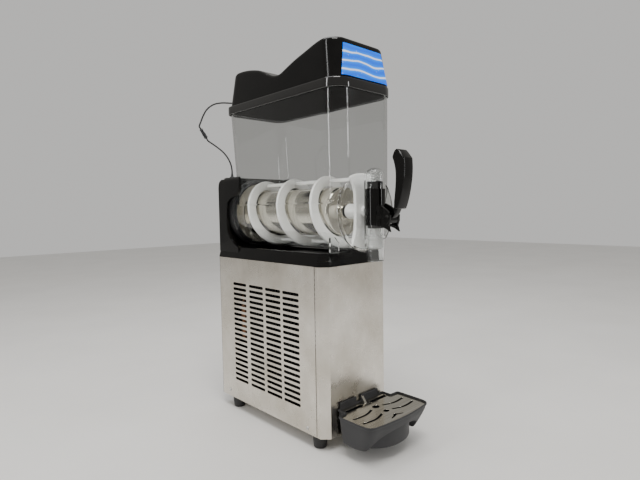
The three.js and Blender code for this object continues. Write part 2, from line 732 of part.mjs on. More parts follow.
function handleSide() {
  const s = new THREE.Shape();
  s.moveTo(-303, 500);
  s.lineTo(-315, 502);
  s.bezierCurveTo(-321, 516, -325.5, 532, -328, 548);
  s.bezierCurveTo(HANDLE_FRONT, 566, HANDLE_FRONT, 584, HANDLE_FRONT + 1.4, 598);
  s.lineTo(-319, 611);
  s.quadraticCurveTo(-311, 620, -306, 612);
  s.lineTo(-301, 601);
  s.bezierCurveTo(-306, 590, -309, 578, -309, 564);
  s.bezierCurveTo(-309, 546, -306, 526, -304, 510);
  return s;
}

function tapHandle() {
  const grip = solidX(handleSide(), -14, 14, 4, 6);
  const neck = solidX(shapeOf([[-281, 486], [-293, 480], [-305, 493], [-312, 508], [-304, 514], [-298, 503]]), -10.5, 10.5);
  const hub = rodX(9, -10.8, 10.8, PIVOT_Y, PIVOT_Z, 20);
  const arm = box(-4.5, 4.5, -285, -257, PIVOT_Z - 3.6, PIVOT_Z + 3.6);
  const tip = rodX(3.8, -4.5, 4.5, -256, PIVOT_Z, 14);
  return unite(grip, neck, hub, arm, tip).subtract(rodX(3 + GAP, -30, 30, PIVOT_Y, PIVOT_Z, 16));
}

function tapPiston() {
  const cap = rodZ(16.4, 16.4, 531, 557, 0, TAP_Y, 20);
  const stem = rodZ(11, 11, 446, 537, 0, TAP_Y, 16);
  const foot = rodZ(13.5, 13.5, 420, 448, 0, TAP_Y, 16);
  const guide = rodZ(16.4, 16.4, 462, 500, 0, TAP_Y, 20);
  const body = unite(cap, stem, foot, guide);
  const notch = box(-5.6, 5.6, -270, -250.5, PIVOT_Z - 5.8, PIVOT_Z + 5.6);
  const relief = box(-5.6, 5.6, -270, -261.2, PIVOT_Z - 22, PIVOT_Z + 20);
  return cut(body, notch, relief, rodZ(11, 11, 546, 570, 0, TAP_Y, 16));
}

function pistonSeal() {
  return turnedZ([[13.8, 422], [16.5, 424], [15.4, 429], [15.4, 437], [16.5, 442], [13.8, 444]], 0, TAP_Y, 20);
}

function tapSpring() {
  const points = [];
  const turns = 5;
  for (let i = 0; i <= turns * 8; i++) {
    const a = (2 * Math.PI * i) / 8;
    points.push([8 * Math.cos(a), TAP_Y + 8 * Math.sin(a), 547.2 + (31.6 * i) / (turns * 8)]);
  }
  return tube(points, 0.7, turns * 8, 5);
}

function buildBowl() {
  add('bowl', bowl(), clear());
  add('tap_housing', tapHousing(), blackGloss());
  add('lever_pin', leverPin(), polished());
  add('tap_handle', tapHandle(), blackGloss());
  add('tap_piston', tapPiston(), blackMatt());
  add('piston_seal', pistonSeal(), rubber());
  add('tap_spring', tapSpring(), polished());
}

// ---------------------------------------------------------------- lid with its lit sign
// Outline of the lip that drops inside the bowl's top edge.
function lidLip(inset) {
  const i = WALL + 0.6 + inset;
  return roundedRect(-BOWL_HX + i, BOWL_HX - i, BOWL_FRONT + i, BOWL_BACK - i, 37 - i, 28 - i);
}

function lidBase() {
  const plan = (i, r, rear) => roundedRect(-LID_HX + i, LID_HX - i, LID_FRONT + i, LID_REAR - i, r, rear);
  const skirt = solid(prismZ(plan(0, 40, 30), RIM_Z, LID_Z, 1));
  const under = solid(prismZ(plan(1.6, 38.5, 28.5), RIM_Z - 2, 754, 1));
  const lip = cut(solid(prismZ(lidLip(0), RIM_Z + 2, 756, 1)), solid(prismZ(lidLip(2), RIM_Z - 2, 754, 1)));
  const tub = solid(prismZ(plan(6, 34, 24), 757, LID_Z + 4, 1));
  return unite(cut(skirt, under), lip).subtract(tub);
}

// Side view of the hood: rounded hump at the rear, dip, then the rise to the sign.
function hoodSide(inset) {
  const i = inset;
  const top = HOOD_TOP - i;
  const hump = top - 4;
  const s = new THREE.Shape();
  s.moveTo(HOOD_REAR + 10, LID_Z + GAP);
  s.lineTo(HOOD_REAR + 10, 800);
  s.lineTo(147 - i, 820 - i);
  s.bezierCurveTo(143 - i, 832 - i, 134 - i, hump, 116, hump);
  s.bezierCurveTo(88, hump, 62, 834 - i, 38, 827.5 - i);
  s.bezierCurveTo(16, 820 - i, 2, 811 - i, -12, 805.5 - i);
  s.bezierCurveTo(-24, 800.5 - i, -40, 799 - i, -50, 802 - i);
  s.bezierCurveTo(-62, 806 - i, -84, 817 - i, -112, 825 - i);
  s.bezierCurveTo(-138, 832 - i, -158, 840 - i, -176, 842 - i);
  s.bezierCurveTo(-190, top, -202, top, -216, top - 1);
  s.lineTo(-250, top - 4);
  s.lineTo(-250, LID_Z + GAP);
  return s;
}

function hoodPrism(inset, r) {
  const i = inset;
  const side = solidX(hoodSide(i), -95, 95, 0, 5);
  const g = prismZ(roundedRect(-HOOD_HX + i, HOOD_HX - i, LID_FRONT + 2.5 + i, HOOD_REAR - i, r, r * 0.75), 755, 850, 4);
  reshape(g, (x, y, z) => {
    const t = Math.max(0, (z - LID_Z) / 78);
    const lean = y < -60 ? 13 * t * Math.min(1, (-60 - y) / 90) : -13 * t * Math.min(1, Math.max(0, y / 100));
    return [x * (1 - 0.075 * t), y + lean, z];
  });
  return side.intersect(solid(g));
}

function lidHood() {
  const hollow = hoodPrism(2.6, 33.4).intersect(box(-100, 100, -240, 170, 740, 850));
  const body = hoodPrism(0, 36).subtract(hollow);
  return body.subtract(rodY(2.6, 130, 168, -62, 776, 12));
}

// Thin graphic panel bent round the front of the hood.
function signPanel() {
  const outer = hoodPrism(-1.3, 37.3);
  const inner = hoodPrism(-0.3, 36.3);
  const region = box(-69, 69, -240, -186, 763.5, 829);
  return outer.subtract(inner).intersect(region);
}

function lampBoard() {
  const board = box(-52, 52, -168, -150, 766, 769);
  const leds = [-40, -20, 0, 20, 40].map((x) => box(x - 3, x + 3, -163, -157, 768, 771));
  const stands = [-44, 44].map((x) => rodZ(3, 3, 757.4, 767, x, -155, 10));
  return unite(board, ...leds, ...stands);
}

function buildLid() {
  add('lid_base', lidBase(), blackGloss());
  add('lid_hood', lidHood(), blackGloss());
  add('sign_panel', signPanel(), material(0x1e90f0, 0.3, 0.0));
  add('lamp_board', lampBoard(), white());
}

// ---------------------------------------------------------------- drip tray
// Rim outline: a narrow neck at the cabinet, shoulders, then the bowed front.
function trayOutline(i) {
  const half = [[NECK_HX - i, TRAY_REAR - i], [NECK_HX - i, -221 - i], [TRAY_HX - 3 - i, -221 - i],
    [TRAY_HX - i, -225 - i], [TRAY_HX - i, -284], [TRAY_HX - 2.5 - i, -300], [TRAY_HX - 10 - i, -308 + i],
    [66, -312 + i], [42, -314.8 + i], [20, TRAY_FRONT + i]];
  const right = half.map(([x, y]) => [TRAY_X + x, y]);
  const left = half.map(([x, y]) => [TRAY_X - x, y]).reverse();
  return shapeOf([...right, ...left]);
}

// The walls lean in towards the foot, the front more than the sides.
function trayShape(inset, zTop, zBottom) {
  return reshape(prismZ(trayOutline(inset), zBottom, zTop, 4), (x, y, z) => {
    const t = Math.max(0, (80 - z) / 52);
    const front = 26 * Math.pow(t, 1.2) * Math.min(1, Math.max(0, (-236 - y) / 56));
    return [TRAY_X + (x - TRAY_X) * (1 - 0.09 * t), y + front, z];
  });
}

// The round basin seen through the arch in the front apron.
function basin(inset, z0, z1) {
  const i = inset;
  const s = new THREE.Shape();
  s.moveTo(TRAY_X + 74 - i, -215);
  s.lineTo(TRAY_X + 74 - i, -250);
  s.bezierCurveTo(TRAY_X + 66 - i, -284 + i, TRAY_X + 38 - i, -304 + i, TRAY_X, -304 + i);
  s.bezierCurveTo(TRAY_X - 38 + i, -304 + i, TRAY_X - 66 + i, -284 + i, TRAY_X - 74 + i, -250);
  s.lineTo(TRAY_X - 74 + i, -215);
  return solid(prismZ(s, z0, z1, 1, 7));
}

// Arch through the apron, seen from the front.
function trayArch(grow) {
  const g = grow;
  const s = new THREE.Shape();
  s.moveTo(TRAY_X - 78 - g, 20);
  s.bezierCurveTo(TRAY_X - 74 - g, 56 + g, TRAY_X - 50, 66 + g, TRAY_X, 66 + g);
  s.bezierCurveTo(TRAY_X + 50, 66 + g, TRAY_X + 74 + g, 56 + g, TRAY_X + 78 + g, 20);
  const geometry = new THREE.ExtrudeGeometry(s, { depth: 90, bevelEnabled: false, curveSegments: 7 });
  geometry.rotateX(Math.PI / 2);
  geometry.translate(0, -240, 0);
  return oriented(mergeable(geometry));
}

function dripTray() {
  const apron = cut(solid(trayShape(1.8, TRAY_RIM, 28.5)), trayArch(0));
  const rim = solid(trayShape(0, TRAY_RIM, TRAY_RIM - 4));
  const tabs = [[-62, -12], [2, 58]].map(([a, b]) => box(a, b, TRAY_REAR - 1.9, TRAY_REAR - 0.1, 80, 100.4));
  const hollow = solid(trayShape(4.4, TRAY_RIM - 5, 31)).subtract(trayArch(2.6)).add(basin(2.4, 31, 78));
  const seat = solid(prismZ(trayOutline(2), TRAY_RIM - 5.4, TRAY_RIM + 2));
  return unite(apron, basin(0, 28.5, 80), rim, ...tabs).subtract(hollow).subtract(seat);
}

// Slot of the given half width along a bent line, cut down through the plate.
function slotCutter(points, half) {
  const near = points.map(([x, y]) => [TRAY_X + x, y - half]);
  const far = points.map(([x, y]) => [TRAY_X + x, y + half]).reverse();
  return solid(prismZ(shapeOf([...near, ...far]), 70, 95));
}

function dripGrid() {
  let grid = solid(prismZ(trayOutline(2.5), TRAY_RIM - 5.1, TRAY_RIM - 3.4));
  const tongue = shapeOf([[-214, 83], [-214, 84.6], [-201.9, 97.8], [-200.9, 97.2], [-211, 83]]);
  grid = grid.add(solidX(tongue, -3, 3));
  for (const s of [-1, 1]) {
    const bent = (list) => list.map(([x, y]) => [s * x, y]).sort((a, b) => a[0] - b[0]);
    grid = grid.subtract(slotCutter(bent([[17, -211.5], [60, -211.5]]), 4.3));
    grid = grid.subtract(slotCutter(bent([[19.5, -244], [34, -249], [48, -251.5], [77, -249.5]]), 2.8));
    grid = grid.subtract(slotCutter(bent([[18.5, -271.4], [32, -276], [46, -278.5], [77, -276]]), 2.8));
  }
  grid = grid.subtract(slotCutter([[-20, -298], [-8, -295], [0, -292], [8, -295], [20, -298]], 2.2));
  return cut(grid, rodZ(8, 8, 70, 95, TRAY_X + 1, -238.7, 16), rodZ(6, 6, 70, 95, TRAY_X + 1, -267, 14));
}

function buildTray() {
  add('drip_tray', dripTray(), blackMatt());
  add('drip_grid', dripGrid(), polished());
}

// ---------------------------------------------------------------- lamp lead: two halves with an in-line connector
const CORD_R = 2;

function buildCord() {
  const joint = new THREE.Vector3(-121, 221, 701);
  const axis = new THREE.Vector3(-0.62, -0.1, 0.78).normalize();
  const end = (d) => joint.clone().addScaledVector(axis, d).toArray();
  const upper = [[-62, 159.2, 776], [-62.2, 164, 776.2], [-66, 174, 777], [-84, 190, 778], [-100, 204, 774],
    [-113, 214, 762], [-121, 219, 747], [-128, 220.5, 730], end(20.5), end(15.6)];
  const lower = [end(-15.6), end(-21.5), [-97, 218, 676], [-87, 211, 667], [-76, 201, 654], [-69, 191, 638],
    [-65, 184.5, 621], [-64, 182, 606], [-64, 182, 592]];
  add('lamp_lead_upper', tube(upper, CORD_R, 24), blackMatt());
  add('lamp_lead_lower', tube(lower, CORD_R, 24), blackMatt());
  add('lead_plug', half(joint, axis, GAP / 2, 14.6, 4.6), blackMatt());
  add('lead_socket', half(joint, axis, -14.6, -GAP / 2, 5.2), blackMatt());
  add('lid_gland', turnedPlain(-62, 776, 152.6, 158.8), rubber());
}

function half(joint, axis, d0, d1, r) {
  const g = new THREE.CylinderGeometry(r, r, d1 - d0, 14);
  g.applyQuaternion(new THREE.Quaternion().setFromUnitVectors(new THREE.Vector3(0, 1, 0), axis));
  const centre = joint.clone().addScaledVector(axis, (d0 + d1) / 2);
  g.translate(centre.x, centre.y, centre.z);
  return solid(g);
}

function turnedPlain(x, z, y0, y1) {
  return rodY(2.3, y0 - 6, y1, x, z, 12).add(rodY(5, y1 - 2, y1, x, z, 14));
}

buildCabinet();
buildCoolingSet();
buildControls();
buildHousing();
buildDrive();
buildBowl();
buildLid();
buildTray();
centreDepth();
buildCord();

export default machine;
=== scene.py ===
import math

import bmesh
import bpy
from mathutils import Matrix, Vector


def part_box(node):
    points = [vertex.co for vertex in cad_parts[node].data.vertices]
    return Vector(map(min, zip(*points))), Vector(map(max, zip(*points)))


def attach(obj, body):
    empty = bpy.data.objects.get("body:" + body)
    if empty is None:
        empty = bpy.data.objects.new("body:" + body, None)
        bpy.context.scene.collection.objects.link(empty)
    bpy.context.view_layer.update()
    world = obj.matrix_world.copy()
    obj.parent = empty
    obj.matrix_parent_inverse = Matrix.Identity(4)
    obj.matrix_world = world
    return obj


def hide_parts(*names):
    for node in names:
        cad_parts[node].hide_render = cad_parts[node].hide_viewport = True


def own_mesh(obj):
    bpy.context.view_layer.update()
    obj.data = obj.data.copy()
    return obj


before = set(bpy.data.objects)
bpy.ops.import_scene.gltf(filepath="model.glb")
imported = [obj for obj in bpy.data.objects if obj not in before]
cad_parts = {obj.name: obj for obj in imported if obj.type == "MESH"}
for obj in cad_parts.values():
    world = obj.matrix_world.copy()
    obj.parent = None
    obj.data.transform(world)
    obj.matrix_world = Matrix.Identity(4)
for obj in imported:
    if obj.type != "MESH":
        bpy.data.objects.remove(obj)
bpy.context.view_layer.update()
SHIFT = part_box("rear_panel")[1].y - 0.195      # the CAD's own middle, moved over the origin
TO_FRAME = Matrix.Translation((0, SHIFT, 0)) @ Matrix.Scale(0.001, 4)
AXIS_Z = 497.0                                  # height of the freezing cylinder's axis, mm
TAP_Y = -246.0                                  # the tap tube's upright axis, mm
PIVOT_Y, PIVOT_Z = -287.0, 480.0                # the lever pin, mm
DOME_Z = 573.0                                  # where the tap tube's dome begins, mm
SHEET_IN, SHEET_OUT = 99.3, 100.5               # the side sheets' two faces from the middle, mm
MERGE = 0.0005                                  # points closer than this are one point, mm
FLAT = math.radians(0.5)                        # faces that meet at less than this are one flat face


def at(x, y, z):
    """A point given in the machine's own millimetres, in the frame's metres."""
    return TO_FRAME @ Vector((x, y, z))


# ------------------------------------------------------------------ camera
def make_camera():
    """The photograph's own view, fitted to the machine's straight edges."""
    yaw, pitch, roll = 0.7492, 0.0617, -0.0164
    look = Vector((math.sin(yaw) * math.cos(pitch), math.cos(yaw) * math.cos(pitch), -math.sin(pitch)))
    right = Vector((math.cos(yaw), -math.sin(yaw), 0))
    up = right.cross(look)
    r = right * math.cos(roll) + up * math.sin(roll)
    u = up * math.cos(roll) - right * math.sin(roll)
    camera = bpy.data.objects.new("camera", bpy.data.cameras.new("camera"))
    bpy.context.scene.collection.objects.link(camera)
    turn = Matrix((r, u, -look)).transposed().to_4x4()
    camera.matrix_world = Matrix.Translation(at(-751.3, -887.0, 500.4)) @ turn
    camera.data.lens = 26.975
    camera.data.sensor_width = 36
    camera.data.clip_start = 0.02
    bpy.context.scene.camera = camera


# ------------------------------------------------------------------ materials
def shader(name, **values):
    """A new material, with its node tree and its shader node set to these values."""
    m = bpy.data.materials.new(name)
    m.use_nodes = True
    tree = m.node_tree
    bsdf = tree.nodes["Principled BSDF"]
    for key, value in values.items():
        bsdf.inputs[key.replace("_", " ")].default_value = value
    return m, tree, bsdf


def add(tree, kind, **values):
    node = tree.nodes.new(kind)
    for key, value in values.items():
        setattr(node, key, value)
    return node


def coords(tree, scale=(1, 1, 1)):
    place = add(tree, "ShaderNodeTexCoord")
    mapping = add(tree, "ShaderNodeMapping")
    mapping.inputs["Scale"].default_value = scale
    tree.links.new(place.outputs["Object"], mapping.inputs["Vector"])
    return mapping.outputs["Vector"]


def noise(tree, vector, scale, detail=3.0, rough=0.55):
    n = add(tree, "ShaderNodeTexNoise")
    n.inputs["Scale"].default_value = scale
    n.inputs["Detail"].default_value = detail
    n.inputs["Roughness"].default_value = rough
    tree.links.new(vector, n.inputs["Vector"])
    return n.outputs["Fac"]


def ramp(tree, fac, stops):
    r = add(tree, "ShaderNodeValToRGB")
    while len(r.color_ramp.elements) < len(stops):
        r.color_ramp.elements.new(0.5)
    for element, (where, color) in zip(r.color_ramp.elements, stops):
        element.position = where
        element.color = (*color, 1)
    tree.links.new(fac, r.inputs["Fac"])
    return r.outputs["Color"]


def span(tree, fac, low, high, a, b):
    """Maps fac from a..b to low..high."""
    m = add(tree, "ShaderNodeMapRange")
    m.inputs["From Min"].default_value = a
    m.inputs["From Max"].default_value = b
    m.inputs["To Min"].default_value = low
    m.inputs["To Max"].default_value = high
    tree.links.new(fac, m.inputs["Value"])
    return m.outputs["Result"]


def paint(tree, bsdf, fac, stops, rough):
    """Base colour and roughness that follow one noise."""
    tree.links.new(ramp(tree, fac, stops), bsdf.inputs["Base Color"])
    tree.links.new(span(tree, fac, *rough, 0.3, 0.7), bsdf.inputs["Roughness"])


def bump(tree, bsdf, height, strength, distance=0.001, normal=None):
    b = add(tree, "ShaderNodeBump")
    b.inputs["Strength"].default_value = strength
    b.inputs["Distance"].default_value = distance
    tree.links.new(height, b.inputs["Height"])
    if normal is not None:
        tree.links.new(normal, b.inputs["Normal"])
    tree.links.new(b.outputs["Normal"], bsdf.inputs["Normal"])
    return b.outputs["Normal"]


def cabinet_steel():
    m, t, s = shader("cabinet_steel", Metallic=1.0)
    blotch = noise(t, coords(t, (1, 1, 0.8)), 9.0, 4.0, 0.6)
    t.links.new(ramp(t, blotch, [(0.3, (0.56, 0.52, 0.45)), (0.5, (0.68, 0.64, 0.57)), (0.7, (0.80, 0.765, 0.70))]),
                s.inputs["Base Color"])
    grain = noise(t, coords(t, (60, 60, 2200)), 1.0, 3.0, 0.7)
    t.links.new(span(t, noise(t, coords(t), 26.0, 3.0), 0.20, 0.36, 0.3, 0.7), s.inputs["Roughness"])
    waves = noise(t, coords(t), 11.0, 2.0)
    n = bump(t, s, waves, 0.35, 0.0016)
    bump(t, s, grain, 0.10, 0.0003, n)
    return m


def polished_steel():
    m, t, s = shader("polished_steel", Metallic=1.0)
    # The noise named rings paints light and dark reflection bands round the axis into the base colour: painted
    # reflection. The same noise also sets the roughness and a faint ring bump.
    rings = noise(t, coords(t, (2, 900, 2)), 1.0, 2.0, 0.7)
    painted_reflection_tones = [(0.3, (0.40, 0.375, 0.32)), (0.5, (0.66, 0.63, 0.55)), (0.7, (0.86, 0.83, 0.75))]
    paint(t, s, rings, painted_reflection_tones, (0.08, 0.20))
    bump(t, s, rings, 0.06, 0.0003)
    return m


def plain_steel():
    m, t, s = shader("plain_steel", Metallic=1.0)
    n = noise(t, coords(t), 60.0, 4.0)
    paint(t, s, n, [(0.35, (0.55, 0.55, 0.54)), (0.65, (0.72, 0.71, 0.70))], (0.22, 0.38))
    bump(t, s, noise(t, coords(t), 400.0, 2.0), 0.05, 0.0003)
    return m


def gloss_black():
    m, t, s = shader("gloss_black", Specular_IOR_Level=0.26, Coat_Weight=0.1, Coat_Roughness=0.03)
    haze = noise(t, coords(t), 14.0, 5.0, 0.65)
    paint(t, s, haze, [(0.3, (0.0012, 0.0012, 0.0013)), (0.75, (0.004, 0.0036, 0.0032))], (0.07, 0.17))
    bump(t, s, noise(t, coords(t), 45.0, 2.0), 0.05, 0.0008)
    return m


def lid_black():
    """Deep gloss of the lid tray, whose flat underside mirrors what stands behind the bowl."""
    m, t, s = shader("lid_black", Specular_IOR_Level=0.5, Coat_Weight=0.8, Coat_Roughness=0.03)
    haze = noise(t, coords(t), 14.0, 5.0, 0.65)
    paint(t, s, haze, [(0.3, (0.0015, 0.0015, 0.0016)), (0.75, (0.005, 0.0045, 0.004))], (0.04, 0.10))
    bump(t, s, noise(t, coords(t), 30.0, 2.0), 0.03, 0.0006)
    return m


def matt_black():
    m, t, s = shader("matt_black")
    grain = noise(t, coords(t), 1500.0, 2.0)
    tone = noise(t, coords(t), 25.0, 4.0)
    paint(t, s, tone, [(0.3, (0.016, 0.0165, 0.0185)), (0.7, (0.030, 0.0305, 0.034))], (0.42, 0.60))
    bump(t, s, grain, 0.25, 0.0004)
    return m


def rubber_black():
    m, t, s = shader("rubber_black")
    tone = noise(t, coords(t), 40.0, 5.0)
    paint(t, s, tone, [(0.3, (0.012, 0.012, 0.013)), (0.7, (0.030, 0.030, 0.031))], (0.45, 0.75))
    bump(t, s, noise(t, coords(t), 700.0, 3.0), 0.2, 0.0005)
    return m


def white_plastic():
    m, t, s = shader("white_plastic", Subsurface_Weight=0.08)
    s.inputs["Subsurface Radius"].default_value = (0.004, 0.004, 0.004)
    tone = noise(t, coords(t), 22.0, 5.0, 0.6)
    paint(t, s, tone, [(0.3, (0.84, 0.83, 0.80)), (0.7, (0.93, 0.925, 0.90))], (0.34, 0.52))
    bump(t, s, noise(t, coords(t), 320.0, 3.0), 0.08, 0.0005)
    return m


def clear_plastic():
    m, t, s = shader("clear_plastic", Transmission_Weight=1.0, IOR=1.42, Base_Color=(0.97, 0.98, 0.98, 1))
    smear = noise(t, coords(t), 16.0, 4.0, 0.7)
    t.links.new(span(t, smear, 0.0, 0.05, 0.45, 0.75), s.inputs["Roughness"])
    bump(t, s, noise(t, coords(t), 7.0, 2.0), 0.04, 0.002)
    see = add(t, "ShaderNodeBsdfTransparent")
    see.inputs["Color"].default_value = (0.94, 0.95, 0.95, 1)
    ray = add(t, "ShaderNodeLightPath")
    mix = add(t, "ShaderNodeMixShader")
    t.links.new(ray.outputs["Is Shadow Ray"], mix.inputs[0])
    t.links.new(s.outputs[0], mix.inputs[1])
    t.links.new(see.outputs[0], mix.inputs[2])
    t.links.new(mix.outputs[0], t.nodes["Material Output"].inputs["Surface"])
    return m


def milky_plastic():
    m, t, s = shader("milky_plastic", Transmission_Weight=0.6, IOR=1.4)
    tone = noise(t, coords(t), 60.0, 3.0)
    paint(t, s, tone, [(0.3, (0.80, 0.80, 0.78)), (0.7, (0.93, 0.93, 0.91))], (0.25, 0.45))
    bump(t, s, noise(t, coords(t), 300.0, 2.0), 0.1, 0.0004)
    return m


def copper_tube():
    m, t, s = shader("copper_tube", Metallic=1.0)
    tone = noise(t, coords(t), 35.0, 5.0)
    paint(t, s, tone, [(0.3, (0.20, 0.10, 0.06)), (0.7, (0.42, 0.23, 0.14))], (0.45, 0.65))
    bump(t, s, noise(t, coords(t), 300.0, 2.0), 0.05, 0.0003)
    return m


def painted_black():
    m, t, s = shader("painted_black", Specular_IOR_Level=0.18)
    tone = noise(t, coords(t), 18.0, 4.0)
    paint(t, s, tone, [(0.3, (0.004, 0.0042, 0.0045)), (0.7, (0.010, 0.0102, 0.011))], (0.50, 0.72))
    bump(t, s, noise(t, coords(t), 500.0, 3.0), 0.2, 0.0004)
    return m


def sign_print():
    """Bright blue print with plain pale wave bands and specks of frost; a painted glow brightens it."""
    m, t, s = shader("sign_print", Roughness=0.4, Specular_IOR_Level=0.2)
    vector = coords(t)
    wave = add(t, "ShaderNodeTexWave", wave_type="BANDS", bands_direction="Z")
    wave.inputs["Scale"].default_value = 16.0
    wave.inputs["Distortion"].default_value = 3.2
    wave.inputs["Detail"].default_value = 0.8
    wave.inputs["Detail Scale"].default_value = 1.1
    t.links.new(vector, wave.inputs["Vector"])
    bands = ramp(t, wave.outputs["Fac"], [(0.0, (0.0, 0.13, 0.90)), (0.6, (0.0, 0.20, 1.0)), (0.86, (0.0, 0.26, 1.0)),
                                          (0.94, (0.45, 0.55, 0.9)), (1.0, (0.85, 0.88, 0.95))])
    frost = add(t, "ShaderNodeTexVoronoi")
    frost.inputs["Scale"].default_value = 95.0
    t.links.new(vector, frost.inputs["Vector"])
    dots = ramp(t, frost.outputs["Distance"], [(0.10, (1, 1, 1)), (0.16, (0, 0, 0))])
    mix = add(t, "ShaderNodeMix", data_type="RGBA", blend_type="SCREEN")
    mix.inputs[0].default_value = 0.2
    t.links.new(bands, mix.inputs[6])
    t.links.new(dots, mix.inputs[7])
    t.links.new(mix.outputs[2], s.inputs["Base Color"])
    # The print's colour also feeds a weak glow: painted light, for the panel is no lamp.
    t.links.new(mix.outputs[2], s.inputs["Emission Color"])
    s.inputs["Emission Strength"].default_value = 0.35
    bump(t, s, noise(t, vector, 30.0, 2.0), 0.03, 0.0005)
    return m


STEEL = cabinet_steel()
POLISHED = polished_steel()
PLAIN = plain_steel()
GLOSS = gloss_black()
LID = lid_black()
MATT = matt_black()
RUBBER = rubber_black()
WHITE = white_plastic()
CLEAR = clear_plastic()
MILKY = milky_plastic()
COPPER = copper_tube()
PAINTED = painted_black()
SIGN = sign_print()


# ------------------------------------------------------------------ mesh helpers, all in the machine's millimetres
def raw(name, verts, faces):
    mesh = bpy.data.meshes.new(name)
    mesh.from_pydata([tuple(v) for v in verts], [], faces)
    mesh.validate()
    obj = bpy.data.objects.new(name, mesh)
    bpy.context.scene.collection.objects.link(obj)
    bm = bmesh.new()
    bm.from_mesh(mesh)
    bmesh.ops.recalc_face_normals(bm, faces=bm.faces)
    bm.to_mesh(mesh)
    bm.free()
    return obj


def rings_to_mesh(name, rings, closed=False):
    """Joins rings of the same number of points; caps the first and last unless they close on each other."""
    n = len(rings[0])
    verts = [p for ring in rings for p in ring]
    faces = []
    count = len(rings)
    for k in range(count if closed else count - 1):
        a, b = k * n, ((k + 1) % count) * n
        faces += [(a + i, a + (i + 1) % n, b + (i + 1) % n, b + i) for i in range(n)]
    if not closed:
        faces.append(tuple(range(n)))
        faces.append(tuple(range((count - 1) * n, count * n)))
    return raw(name, verts, faces)


def circle(r, sides):
    """Points round a circle. At a radius of nearly 0 they stay apart, so that every ring has the same number."""
    r = max(r, 0.001)
    return [(r * math.cos(2 * math.pi * i / sides), r * math.sin(2 * math.pi * i / sides)) for i in range(sides)]


def lathe_x(name, profile, y, z, sides=40, closed=True):
    """Turns (radius, x) pairs round a line along x; a closed profile makes a ring, an open one is capped."""
    return rings_to_mesh(name, [[(x, y + u, z + v) for u, v in circle(r, sides)] for r, x in profile], closed)


def lathe_y(name, profile, sides=96, x=0.0, z=AXIS_Z, closed=True):
    return rings_to_mesh(name, [[(x + v, y, z + u) for u, v in circle(r, sides)] for r, y in profile], closed)


def lathe_z(name, profile, x, y, sides=64, closed=False):
    return rings_to_mesh(name, [[(x + u, y + v, z) for u, v in circle(r, sides)] for r, z in profile], closed)


def block(name, x0, x1, y0, y1, z0, z1):
    ring = [(x0, y0), (x1, y0), (x1, y1), (x0, y1)]
    return rings_to_mesh(name, [[(x, y, z) for x, y in ring] for z in (z0, z1)])


def prism_x(name, outline, x0, x1):
    return rings_to_mesh(name, [[(x, y, z) for y, z in outline] for x in (x0, x1)])


def rounded_rect(x0, x1, y0, y1, r, r_rear, n=14):
    corners = [(x1 - r, y0 + r, r, -90), (x1 - r_rear, y1 - r_rear, r_rear, 0),
               (x0 + r_rear, y1 - r_rear, r_rear, 90), (x0 + r, y0 + r, r, 180)]
    points = []
    for cx, cy, radius, start in corners:
        for k in range(n + 1):
            a = math.radians(start + 90 * k / n)
            points.append((cx + radius * math.cos(a), cy + radius * math.sin(a)))
    return points


def evaluated(obj):
    """Applies the object's modifiers to its mesh."""
    bpy.context.view_layer.update()
    dg = bpy.context.evaluated_depsgraph_get()
    mesh = bpy.data.meshes.new_from_object(obj.evaluated_get(dg))
    obj.modifiers.clear()
    obj.data = mesh
    return obj


def boolean(obj, tool, operation):
    mod = obj.modifiers.new("b", "BOOLEAN")
    mod.operation = operation
    mod.solver = "EXACT"
    mod.object = tool
    evaluated(obj)
    bpy.data.objects.remove(tool)
    return obj


def cut(obj, *tools):
    for tool in tools:
        boolean(obj, tool, "DIFFERENCE")
    return obj


def unite(obj, *tools):
    for tool in tools:
        boolean(obj, tool, "UNION")
    return obj


def joined(name, parts):
    """Several meshes as one object, left as they are."""
    bm = bmesh.new()
    for part in parts:
        bm.from_mesh(part.data)
        bpy.data.objects.remove(part)
    mesh = bpy.data.meshes.new(name)
    bm.to_mesh(mesh)
    bm.free()
    obj = bpy.data.objects.new(name, mesh)
    bpy.context.scene.collection.objects.link(obj)
    return obj


def bevel(obj, width, segments=3, angle=32):
    mod = obj.modifiers.new("v", "BEVEL")
    mod.width = width
    mod.segments = segments
    mod.limit_method = "ANGLE"
    mod.angle_limit = math.radians(angle)
    mod.use_clamp_overlap = True
    return evaluated(obj)


def shade(obj, angle=32):
    bm = bmesh.new()
    bm.from_mesh(obj.data)
    for f in bm.faces:
        f.smooth = True
    for e in bm.edges:
        e.smooth = len(e.link_faces) == 2 and e.calc_face_angle(0) < math.radians(angle)
        if e.smooth and e.calc_face_angle(0) > math.radians(1.5):
            small, large = sorted(f.calc_area() for f in e.link_faces)
            e.smooth = large < 60 * small                   # a large flat face keeps its own flat shading
    bm.to_mesh(obj.data)
    bm.free()
    return obj


def finish(obj, name, body, material, slot_name, *nodes, angle=32):
    """Puts a piece into the frame with its shading, material and body, and hides the CAD nodes it stands for."""
    obj.data.transform(TO_FRAME)
    shade(obj, angle)
    obj.name = name
    obj.data.name = name
    obj.data.materials.clear()
    obj.data.materials.append(material)
    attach(obj, body)
    if nodes:
        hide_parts(*nodes)
    return obj


def node_copy(node):
    """A clean copy of a CAD node's mesh in millimetres, with its flat faces joined up."""
    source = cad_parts[node]
    bm = bmesh.new()
    bm.from_mesh(source.data)
    bm.transform(TO_FRAME.inverted())
    bmesh.ops.remove_doubles(bm, verts=bm.verts, dist=MERGE)
    bmesh.ops.dissolve_limit(bm, angle_limit=FLAT, verts=bm.verts, edges=bm.edges)
    mesh = bpy.data.meshes.new(node + "_m")
    bm.to_mesh(mesh)
    bm.free()
    obj = bpy.data.objects.new(node + "_m", mesh)
    bpy.context.scene.collection.objects.link(obj)
    return obj


